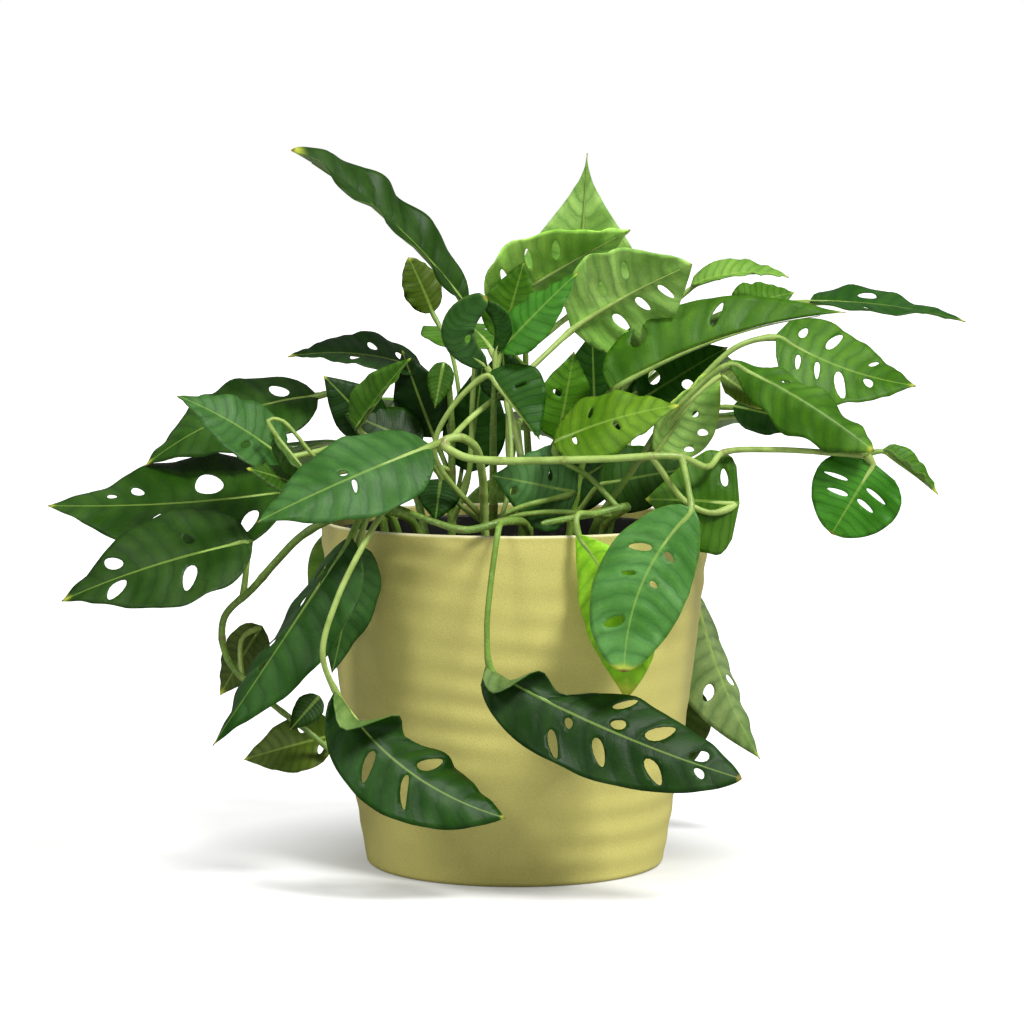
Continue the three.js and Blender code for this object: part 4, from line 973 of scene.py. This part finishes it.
class Blade:
    """A leaf blade: s runs along the midrib, and t from -1 at the left margin to 1 at the right one."""

    def __init__(self, row, relief, rng):
        self.row = row
        self.relief = relief
        self.phases = rng.uniform(0, 2 * np.pi, 8)
        self.waves = rng.uniform(3.0, 5.5, 2)
        base, tip = np.array(row.base, float), np.array(row.tip, float)
        chord = tip - base
        self.length = np.linalg.norm(chord)
        axis = chord / self.length
        face = np.array(row.face, float)
        self.face = unit(face - axis * (face @ axis))
        reach = self.length / CUBIC_REACH
        swayed = np.cross(axis, self.face) * row.sway * reach
        lifted = self.face * reach
        self.handles = [
            base, base + chord / 3 + lifted * row.arch + swayed,
            base + chord * 2 / 3 + lifted * row.arch + swayed, tip,
        ]

    def midrib(self, s):
        s = np.asarray(s, float)[..., None]
        a, b, c, d = self.handles
        return a * (1 - s) ** 3 + 3 * b * s * (1 - s) ** 2 + 3 * c * s**2 * (1 - s) + d * s**3

    def tangent(self, s):
        s = np.asarray(s, float)[..., None]
        a, b, c, d = self.handles
        return unit((b - a) * (1 - s) ** 2 + 2 * (c - b) * s * (1 - s) + (d - c) * s**2)

    def half_width(self, s):
        heel, point = self.row.heel, self.row.point
        widest = heel / (heel + point)
        return 0.5 * self.row.width * (s / widest) ** heel * ((1 - s) / (1 - widest)) ** point

    def along(self, s, t):
        return s + (margin_of(s) - s) * np.abs(t) ** VEIN_CURVE

    def flat(self, s, t):
        """The blade's point as if pressed flat, in millimetres along and across."""
        return np.column_stack([self.along(s, t) * self.length, t * self.half_width(margin_of(s))])

    def lift(self, along):
        """Over the midrib, its own direction and the direction away from the blade's upper face."""
        tangent = self.tangent(along)
        lift = unit(self.face - tangent * (tangent @ self.face)[..., None])
        turn = np.radians(self.row.twist * along)[..., None]
        return tangent, lift * np.cos(turn) + np.cross(tangent, lift) * np.sin(turn)

    def surface(self, s, t):
        """The blade's middle surface, in millimetres."""
        out = np.abs(t)
        margin = margin_of(s)
        along = self.along(s, t)
        away = (margin - self.row.lapel_end - LAPEL_FADE) / NOTCH_SPREAD
        kept = 1 - self.row.notch * np.exp(-(away**2)) * (t < 0)
        across = out * self.half_width(margin) * kept
        tangent, lift = self.lift(along)
        left, right = self.row.fold
        folded = self.row.lapel * (1 - smooth((margin - self.row.lapel_end) / LAPEL_FADE)) * (t < 0)
        slope = np.radians(np.where(t > 0, right, left) + folded)
        beat = RIPPLES * np.pi * margin + np.where(t > 0, 0, RIPPLE_LAG)
        ripple = self.row.wave * across * out * np.sin(beat)
        sideways = np.cross(tangent, lift) * (np.sign(t) * across * np.cos(slope))[:, None]
        return self.midrib(along) + sideways + lift * (across * np.sin(slope) + ripple)[:, None]

    def height(self, s, t):
        """Height over the smooth blade of its quilting, its midrib's groove and its crinkled margin."""
        out = np.abs(t)
        across = out * self.half_width(margin_of(s))
        phase = vein_phase(s)
        gap = np.diff(VEINS)[np.minimum(phase.astype(int), len(VEINS) - 2)]
        size = np.minimum(1.0, gap * self.length / FULL_PANEL)
        panel = 1 - np.abs(2 * (phase % 1) - 1) ** 2.2
        strip = 1 - np.abs(2 * (2 * phase % 1) - 1) ** 2
        fade = smooth(across / PANEL_START) * (1 - 0.6 * out**3)
        quilting = self.relief["quilting"] * (panel + 0.3 * strip - 0.4) * fade * size
        groove = self.relief["groove"] * np.exp(-((across / GROOVE_REACH) ** 2)) * (1 - 0.7 * s)
        p = self.phases
        crinkle = self.relief["crinkle"] * out**3 * np.sin(np.pi * s) ** 0.5 * (
            np.sin(2 * np.pi * self.waves[0] * s + p[0] + np.sign(t) * p[1])
            + 0.4 * np.sin(2 * np.pi * 1.7 * self.waves[1] * s + p[2] + np.sign(t) * p[3])
        )
        buckle = BUCKLE * self.length * np.sin(np.pi * s) * (
            np.sin(2.6 * np.pi * s + 1.5 * t + p[4]) * out
            + 0.5 * np.sin(4.2 * np.pi * s - 2.4 * t + p[5]) * out
        )
        return quilting - groove + crinkle + buckle

    def keel(self, s):
        """Points on the middle surface along the midrib, with its groove, and the direction above them."""
        s = np.asarray(s, float)
        lift = self.lift(s)[1]
        return self.midrib(s) + lift * self.height(s, np.zeros_like(s))[:, None], lift


def vein_phase(s):
    """The place among the side veins: a whole number at each of them."""
    return np.interp(s, VEINS, np.arange(len(VEINS)))


def hole_loop(hole, grain, length):
    """A perforation's outline as s and t, drawn out towards the margin."""
    place, start, end, share = hole
    gap = int(abs(place))
    near, far = VEINS[gap], VEINS[gap + 1]
    middle = near + (abs(place) - gap) * (far - near)
    count = int(np.clip(share * (far - near) * length * HOLE_DETAIL / grain, *HOLE_POINTS))
    turn = 2 * np.pi * np.arange(count) / count
    taper = 1 - HOLE_TAPER * np.cos(turn)
    s = middle + 0.5 * share * (far - near) * np.sin(turn) * taper
    t = 0.5 * (start + end) + 0.5 * (end - start) * np.cos(turn)
    return s, np.sign(place) * t


def inside(points, outline):
    """Which of the flat points lie inside a closed outline."""
    x, y = points[:, 0, None], points[:, 1, None]
    x0, y0 = outline[:, 0], outline[:, 1]
    x1, y1 = np.roll(x0, -1), np.roll(y0, -1)
    crosses = (y0 > y) != (y1 > y)
    rise = np.where(y1 == y0, 1e-12, y1 - y0)
    return (crosses & (x < x0 + (y - y0) * (x1 - x0) / rise)).sum(axis=1) % 2 == 1


def blade_points(blade, grain):
    """Points along the side veins as (s, t), edges that keep margins and veins whole, and the outline."""
    rows = []
    for near, far in zip(VEINS[:-1], VEINS[1:]):
        count = max(2, int(round((far - near) * blade.length / grain)))
        rows.extend(np.linspace(near, far, count, endpoint=False)[0 if near else 1:])
    spots = [(0.0, 0.0), (1.0, 0.0)]
    fixed = []
    margins = {-1: [0], 1: [0]}
    middle = [0]
    for s in rows:
        count = max(1, int(np.ceil(blade.half_width(margin_of(s)) / grain)))
        is_vein = np.isclose(VEINS, s).any()
        middle.append(len(spots))
        spots.append((s, 0.0))
        for side in (-1, 1):
            previous = middle[-1]
            for k in range(1, count + 1):
                spots.append((s, side * k / count))
                if is_vein:
                    fixed.append((previous, len(spots) - 1))
                    previous = len(spots) - 1
            margins[side].append(len(spots) - 1)
    for line in (middle, margins[-1], margins[1]):
        line.append(1)
        fixed.extend(zip(line, line[1:]))
    outline = margins[1] + margins[-1][-2:0:-1]
    return np.array(spots), fixed, outline


def blade_plan(blade, grain):
    """The blade's points as (s, t), and its triangles, left out where it is perforated."""
    spots, fixed, outline = blade_points(blade, grain)
    plan = blade.flat(spots[:, 0], spots[:, 1])
    border = plan[outline]
    kept = np.ones(len(spots), bool)
    on_line = np.zeros(len(spots), bool)
    on_line[np.unique(np.array(fixed))] = True
    loops = []
    for hole in blade.row.holes:
        s, t = hole_loop(hole, grain, blade.length)
        loop = blade.flat(s, t)
        centre = loop.mean(axis=0)
        grown_loop = loop + unit(loop - centre) * HOLE_CLEARANCE * grain
        kept &= ~inside(plan, grown_loop) | on_line
        loops.append((np.column_stack([s, t]), loop))
    number = np.cumsum(kept) - 1
    all_spots = [spots[kept]]
    all_plan = [plan[kept]]
    edges = [(int(number[a]), int(number[b])) for a, b in fixed]
    for loop_spots, loop in loops:
        start = sum(len(part) for part in all_plan)
        count = len(loop)
        edges.extend((start + k, start + (k + 1) % count) for k in range(count))
        all_spots.append(loop_spots)
        all_plan.append(loop)
    spots, plan = np.vstack(all_spots), np.vstack(all_plan)
    result = delaunay_2d_cdt([Vector(p) for p in plan], edges, [], 0, 1e-5, True)
    source = [ids[0] for ids in result[3]]
    triangles = np.array([[source[k] for k in face] for face in result[2]])
    centres = plan[triangles].mean(axis=1)
    good = inside(centres, border)
    for _, loop in loops:
        good &= ~inside(centres, loop)
    return spots, triangles[good]


def vertex_normals(points, triangles):
    a, b, c = (points[triangles[:, k]] for k in range(3))
    flat = np.cross(b - a, c - a)
    normals = np.zeros_like(points)
    for k in range(3):
        np.add.at(normals, triangles[:, k], flat)
    return unit(normals + 1e-12)


def blade_mesh(blade, leaf_settings, colours):
    """One closed blade: points, triangles, which of them are smooth, and what its finish reads."""
    spots, triangles = blade_plan(blade, leaf_settings.grain / MM)
    s, t = spots[:, 0], spots[:, 1]
    triangles = triangles[:, ::-1]
    middle = blade.surface(s, t)
    middle = middle + vertex_normals(middle, triangles) * blade.height(s, t)[:, None]
    half = vertex_normals(middle, triangles) * 0.5 * leaf_settings.thickness / MM
    count = len(spots)
    sides = np.vstack([triangles[:, [0, 1]], triangles[:, [1, 2]], triangles[:, [2, 0]]])
    _, first, uses = np.unique(np.sort(sides, axis=1), axis=0, return_index=True, return_counts=True)
    a, b = sides[first[uses == 1]].T
    walls = np.vstack([np.column_stack([b, a, count + a]), np.column_stack([b, count + a, count + b])])
    faces = np.vstack([triangles, count + triangles[:, ::-1], walls])
    points = np.vstack([middle + half, middle - half])
    look = blade.row.look
    across = np.abs(t) * blade.half_width(margin_of(s)) + RIB_REACH * (1 - look.rib)
    veins = np.column_stack([vein_phase(s), across, s])
    tip = smooth((s - 1 + look.tip) / look.tip)
    rim = look.rim * smooth((np.abs(t) - RIM_START) / RIM_SPREAD)
    ageing = np.clip(tip + rim, 0, 1)
    is_smooth = np.arange(len(faces)) < 2 * len(triangles)
    tissue = np.repeat(colours, count, axis=0)
    return points, faces, is_smooth, np.tile(veins, (2, 1)), np.tile(ageing, 2), tissue


def leaf_finish(row, leaf_settings, rng):
    """The upper and underside colours of a leaf, and the heights of its relief in millimetres."""
    look = row.look
    # Painted light and shade: the shade scales both colours, partly for the leaf's own tone, partly for the
    # light it catches.
    upper = np.array(getattr(leaf_settings, look.tint)) * look.shade * rng.uniform(0.94, 1.06)
    under = 0.45 * upper + 0.55 * look.shade * np.array(leaf_settings.underside)
    quilting = leaf_settings.quilting / MM * look.quilting * rng.uniform(0.85, 1.2)
    groove = leaf_settings.groove / MM * look.rib
    crinkle = leaf_settings.crinkle / MM * rng.uniform(0.6, 1.4)
    return (upper, under), dict(quilting=quilting, groove=groove, crinkle=crinkle)


def vine_blades(name):
    """The vine's leaves as Blade objects, with their two colours."""
    leaf_settings = bpy.context.scene.plant.leaf
    rng = np.random.default_rng(leaf_settings.seed + list(VINES).index(name))
    rows = VINES[name].leaves
    finishes = [leaf_finish(row, leaf_settings, rng) for row in rows]
    return [(Blade(row, relief, rng), colours) for row, (colours, relief) in zip(rows, finishes)]


def blades_piece(name, material):
    """All the leaf blades of one vine."""
    leaf_settings = bpy.context.scene.plant.leaf
    parts = [blade_mesh(blade, leaf_settings, colours) for blade, colours in vine_blades(name)]
    points, faces, is_smooth, veins, ageing, tissue = zip(*parts)
    starts = np.cumsum([0, *map(len, points)])
    faces = np.vstack([part + start for part, start in zip(faces, starts)])
    piece = plain_object(name + "_blades", (np.vstack(points) * MM).tolist(), [], faces.tolist())
    mesh = piece.data
    mesh.polygons.foreach_set("use_smooth", np.concatenate(is_smooth))
    store(mesh, "blade", "FLOAT_VECTOR", np.vstack(veins))
    store(mesh, "ageing", "FLOAT", np.concatenate(ageing))
    store(mesh, "tissue", "FLOAT_COLOR", np.vstack(tissue))
    mesh.materials.append(material)
    return piece


# --- Stems ---

# In millimetres: the ends of the straight peg in the soil, the spacing of a path's points and of its nodes.
PEG_FOOT = SOIL_TOP / MM - 20
PEG_HEAD = SOIL_TOP / MM + 4
PATH_STEP = 3.0
NODE_SPACING = 46
# How far a node may stray from its even place, how far its scar reaches, and how much the stem swells there.
NODE_STRAY = 8
SCAR_REACH = 2.2
NODE_SWELL = 0.16
# How much of its girth a stem loses towards its end.
STEM_TAPER = 0.3
# How much a petiole swells at its sheath round the stem and at the knee below its blade, and how far in
# millimetres each reaches.
SHEATH_SWELL, SHEATH_REACH = 0.35, 7
KNEE_SWELL, KNEE_REACH = 0.3, 5
# The petiole runs on under the blade at these shares of the midrib and thins into the midrib's keel, to these
# shares of its radius.
KEEL = (0.03, 0.14, 0.3, 0.5, 0.7, 0.9)
KEEL_RADIUS = (0.5, 0.5, 0.62, 0.5, 0.4, 0.3)
# The vines whose stem is still pale, and how pale it is.
YOUNG_STEMS = {"vine_runner": 0.6}


def stem_tree():
    """Gives thickness to the strands of a guide mesh, from the girth kept at each point."""
    tree, nodes, given = geometry_tree("stems", {"Sides": ("Int", 8)})
    strands = nodes.add("GeometryNodeMeshToCurve", {"Mesh": given["Geometry"]})["Curve"]
    girth = nodes.add("GeometryNodeInputNamedAttribute", {"Name": "girth"}, data_type="FLOAT")[0]
    sized = nodes.add("GeometryNodeSetCurveRadius", {"Curve": strands, "Radius": girth})[0]
    circle = {"Resolution": given["Sides"], "Radius": 1.0}
    ring = nodes.add("GeometryNodeCurvePrimitiveCircle", circle)["Curve"]
    around = {"Curve": sized, "Profile Curve": ring, "Scale": girth, "Fill Caps": True}
    close_tree(nodes, nodes.add("GeometryNodeCurveToMesh", around)["Mesh"], given["Material"])
    return tree


def stem_strand(foot, points, shares, settings, rng):
    """The stem from its hole in the soil: path, girth, scars, and the path's point at each leaf's share."""
    x, y = foot
    rise = smooth_path([(x, y, PEG_HEAD), *points], PATH_STEP)
    far = reach_along(rise)
    joints = [share * far[-1] for share in shares]
    spaced = np.arange(NODE_SPACING * 0.6, far[-1], NODE_SPACING)
    nodes = np.concatenate([joints, spaced + rng.uniform(-NODE_STRAY, NODE_STRAY, len(spaced))])
    scar = np.exp(-(((far[:, None] - nodes) / SCAR_REACH) ** 2)).max(axis=1)
    radius = settings.stem / MM
    girth = radius * (1 + NODE_SWELL * scar) * (1 - STEM_TAPER * smooth(far / far[-1] * 1.2 - 0.2))
    girth[-1] *= 0.6
    path = np.vstack([[(x, y, PEG_FOOT)], rise])
    return path, np.concatenate([[radius], girth]), np.concatenate([[0], scar]), far, rise


def petiole_strand(start, blade, settings):
    """A petiole from the stem to its blade, and on under the blade as the midrib's keel."""
    keel, lift = blade.keel(KEEL)
    radius = settings.petiole / MM
    keel = keel - lift * (np.array(KEEL_RADIUS) * radius)[:, None]
    path = smooth_path([start, *blade.row.via, *keel], PATH_STEP)
    far = reach_along(path)
    joint = far[np.linalg.norm(path - keel[0], axis=1).argmin()]
    sheath = SHEATH_SWELL * np.exp(-far / SHEATH_REACH)
    knee = KNEE_SWELL * np.exp(-(((far - joint + KNEE_REACH) / KNEE_REACH) ** 2))
    tail = smooth((far - joint) / max(far[-1] - joint, 1))
    size = min(1.0, 0.55 + blade.row.width / 110)
    girth = radius * size * (1 + sheath + knee) * (1 - 0.82 * tail)
    return path, girth, np.zeros(len(far))


def stems_piece(name, tree, material):
    """The stem, petioles and midrib keels of one vine."""
    settings = bpy.context.scene.plant.stem
    rng = np.random.default_rng(settings.seed + list(VINES).index(name))
    vine = VINES[name]
    blades = [blade for blade, _ in vine_blades(name)]
    shares = [row.at for row in vine.leaves]
    path, girth, scar, far, rise = stem_strand(vine.foot, vine.stem, shares, settings, rng)
    green, pale = np.array(settings.green), np.array(settings.pale)
    youth = YOUNG_STEMS.get(name, 0.0)
    strands = [(path, girth, scar, (green + (pale - green) * youth) * rng.uniform(0.75, 1.05))]
    for blade, share in zip(blades, shares):
        start = np.array([np.interp(share * far[-1], far, rise[:, k]) for k in range(3)])
        drawn = rng.uniform(0.1, 0.9)
        paleness = drawn if blade.row.look.petiole is None else blade.row.look.petiole
        strands.append((*petiole_strand(start, blade, settings), green + (pale - green) * paleness))
    paths, girths, scars, colours = zip(*strands)
    counts = [len(path) for path in paths]
    ends = np.cumsum(counts)
    edges = [(k, k + 1) for k in range(ends[-1]) if k + 1 not in ends]
    guide = plain_object(name + "_stems", (np.vstack(paths) * MM).tolist(), edges, [])
    store(guide.data, "girth", "FLOAT", np.concatenate(girths) * MM)
    store(guide.data, "scar", "FLOAT", np.concatenate(scars))
    store(guide.data, "tissue", "FLOAT_COLOR", np.repeat(colours, counts, axis=0))
    return grown(guide, tree, {"Sides": settings.sides, "Material": material})


# --- Operators ---

class PLANT_OT_pots(bpy.types.Operator):
    """Turn the decorative pot and the growing pot"""

    bl_idname = "plant.pots"
    bl_label = "Pots"

    def execute(self, context):
        pot = context.scene.plant.pot
        clay, plastic = clay_material(pot), plastic_material(pot)
        tree = turning_tree()
        values = {"Turning Steps": pot.steps, "Material": clay, "Ripple Depth": pot.ripple_depth}
        place_in_frame(turned_piece("pot_shell", pot_profile(pot), tree, values), "pot", "pot")
        values = {"Turning Steps": pot.steps // 2, "Material": plastic, "Ripple Depth": 0.0}
        inner = turned_piece("growing_pot_shell", grow_pot_profile(), tree, values)
        place_in_frame(inner, "grow_pot", "grow_pot")
        return {"FINISHED"}


class PLANT_OT_soil(bpy.types.Operator):
    """Give the soil its finish and scatter crumbs over it"""

    bl_idname = "plant.soil"
    bl_label = "Soil"

    def execute(self, context):
        soil = context.scene.plant.soil
        mix = soil_material(soil)
        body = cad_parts["soil"]
        body.data.materials.clear()
        body.data.materials.append(mix)
        points, faces = soil_surface()
        guide = plain_object("soil_crumbs", points, [], faces)
        values = {"Crumb Radius": soil.crumb, "Density": soil.density, "Seed": soil.seed, "Material": mix}
        place_in_frame(grown(guide, crumb_tree(), values), "soil")
        return {"FINISHED"}


class PLANT_OT_leaves(bpy.types.Operator):
    """Grow the perforated leaf blades of every vine"""

    bl_idname = "plant.leaves"
    bl_label = "Leaves"

    def execute(self, context):
        material = leaf_material(context.scene.plant.leaf)
        for name in VINES:
            place_in_frame(blades_piece(name, material), "foliage", name)
        return {"FINISHED"}


class PLANT_OT_stems(bpy.types.Operator):
    """Grow the stems and petioles of every vine"""

    bl_idname = "plant.stems"
    bl_label = "Stems"

    def execute(self, context):
        material = stem_material(context.scene.plant.stem)
        tree = stem_tree()
        for name in VINES:
            place_in_frame(stems_piece(name, tree, material), "foliage", name)
        return {"FINISHED"}


# The camera stands in front of the plant, a little above it, and looks down by this angle.
CAMERA_PLACE = (-0.0017, -1.923, 0.3626)
CAMERA_DIP = np.radians(4.87)
LENS_MM = 120
SENSOR_MM = 36
FLOOR_REACH = 30.0
KEY_DIRECTION = (-0.42, 0.46, -0.78)
FILL_DIRECTION = (0.55, 0.6, -0.6)


def soft_light(name, energy, softness, direction):
    """A big soft light that shines in this direction."""
    data = bpy.data.lights.new(name, "SUN")
    data.energy = energy
    data.angle = softness
    shown(name, data).rotation_euler = Vector(direction).to_track_quat("-Z", "Y").to_euler()


def surroundings(strength):
    """White to the eye, and a dimmer white to the object."""
    world = bpy.data.worlds.new("studio")
    bpy.context.scene.world = world
    world.use_nodes = True
    nodes = Nodes(world.node_tree)
    background = world.node_tree.nodes["Background"]
    seen = nodes.add("ShaderNodeLightPath")["Is Camera Ray"]
    nodes.feed(background.inputs["Color"], (1.0, 1.0, 1.0))
    nodes.feed(background.inputs["Strength"], nodes.spread(seen, strength, 1.0))


class PLANT_OT_stage(bpy.types.Operator):
    """Set the floor, the lights and the camera"""

    bl_idname = "plant.stage"
    bl_label = "Stage"

    def execute(self, context):
        stage = context.scene.plant.stage
        corners = [(x * FLOOR_REACH, y * FLOOR_REACH, 0) for x, y in ((-1, -1), (1, -1), (1, 1), (-1, 1))]
        floor = plain_object("floor", corners, [], [(0, 1, 2, 3)])
        floor.data.materials.append(floor_material(stage))
        soft_light("key_light", stage.sun, stage.softness, KEY_DIRECTION)
        soft_light("fill_light", stage.fill, stage.softness, FILL_DIRECTION)
        surroundings(stage.ambient)
        context.scene.view_settings.view_transform = "Standard"
        lens = bpy.data.cameras.new("camera")
        lens.lens = LENS_MM
        lens.sensor_width = SENSOR_MM
        camera = shown("camera", lens)
        camera.location = CAMERA_PLACE
        camera.rotation_euler = (np.pi / 2 - CAMERA_DIP, 0, 0)
        context.scene.camera = camera
        return {"FINISHED"}


# A property group's first names are Blender's own.
OWN_PROPERTIES = 2


class PLANT_PT_panel(bpy.types.Panel):
    """The plant's pieces and settings"""

    bl_label = "Swiss Cheese Plant"
    bl_idname = "PLANT_PT_panel"
    bl_space_type = "VIEW_3D"
    bl_region_type = "UI"
    bl_category = "Plant"

    def draw(self, context):
        plant = context.scene.plant
        for operator, group in ((PLANT_OT_pots, plant.pot), (PLANT_OT_soil, plant.soil),
                                (PLANT_OT_leaves, plant.leaf), (PLANT_OT_stems, plant.stem),
                                (PLANT_OT_stage, plant.stage)):
            box = self.layout.box()
            box.operator(operator.bl_idname)
            for name in group.bl_rna.properties.keys()[OWN_PROPERTIES:]:
                box.prop(group, name)


CLASSES = (
    PotSettings, SoilSettings, LeafSettings, StemSettings, StageSettings, PlantSettings,
    PLANT_OT_pots, PLANT_OT_soil, PLANT_OT_leaves, PLANT_OT_stems, PLANT_OT_stage, PLANT_PT_panel,
)


def register():
    for cls in CLASSES:
        bpy.utils.register_class(cls)
    bpy.types.Scene.plant = bpy.props.PointerProperty(type=PlantSettings)


def unregister():
    del bpy.types.Scene.plant
    for cls in reversed(CLASSES):
        bpy.utils.unregister_class(cls)


def main():
    """Builds the plant piece by piece."""
    register()
    bpy.ops.plant.stage()
    bpy.ops.plant.pots()
    bpy.ops.plant.soil()
    bpy.ops.plant.leaves()
    bpy.ops.plant.stems()


if __name__ == "__main__":
    main()
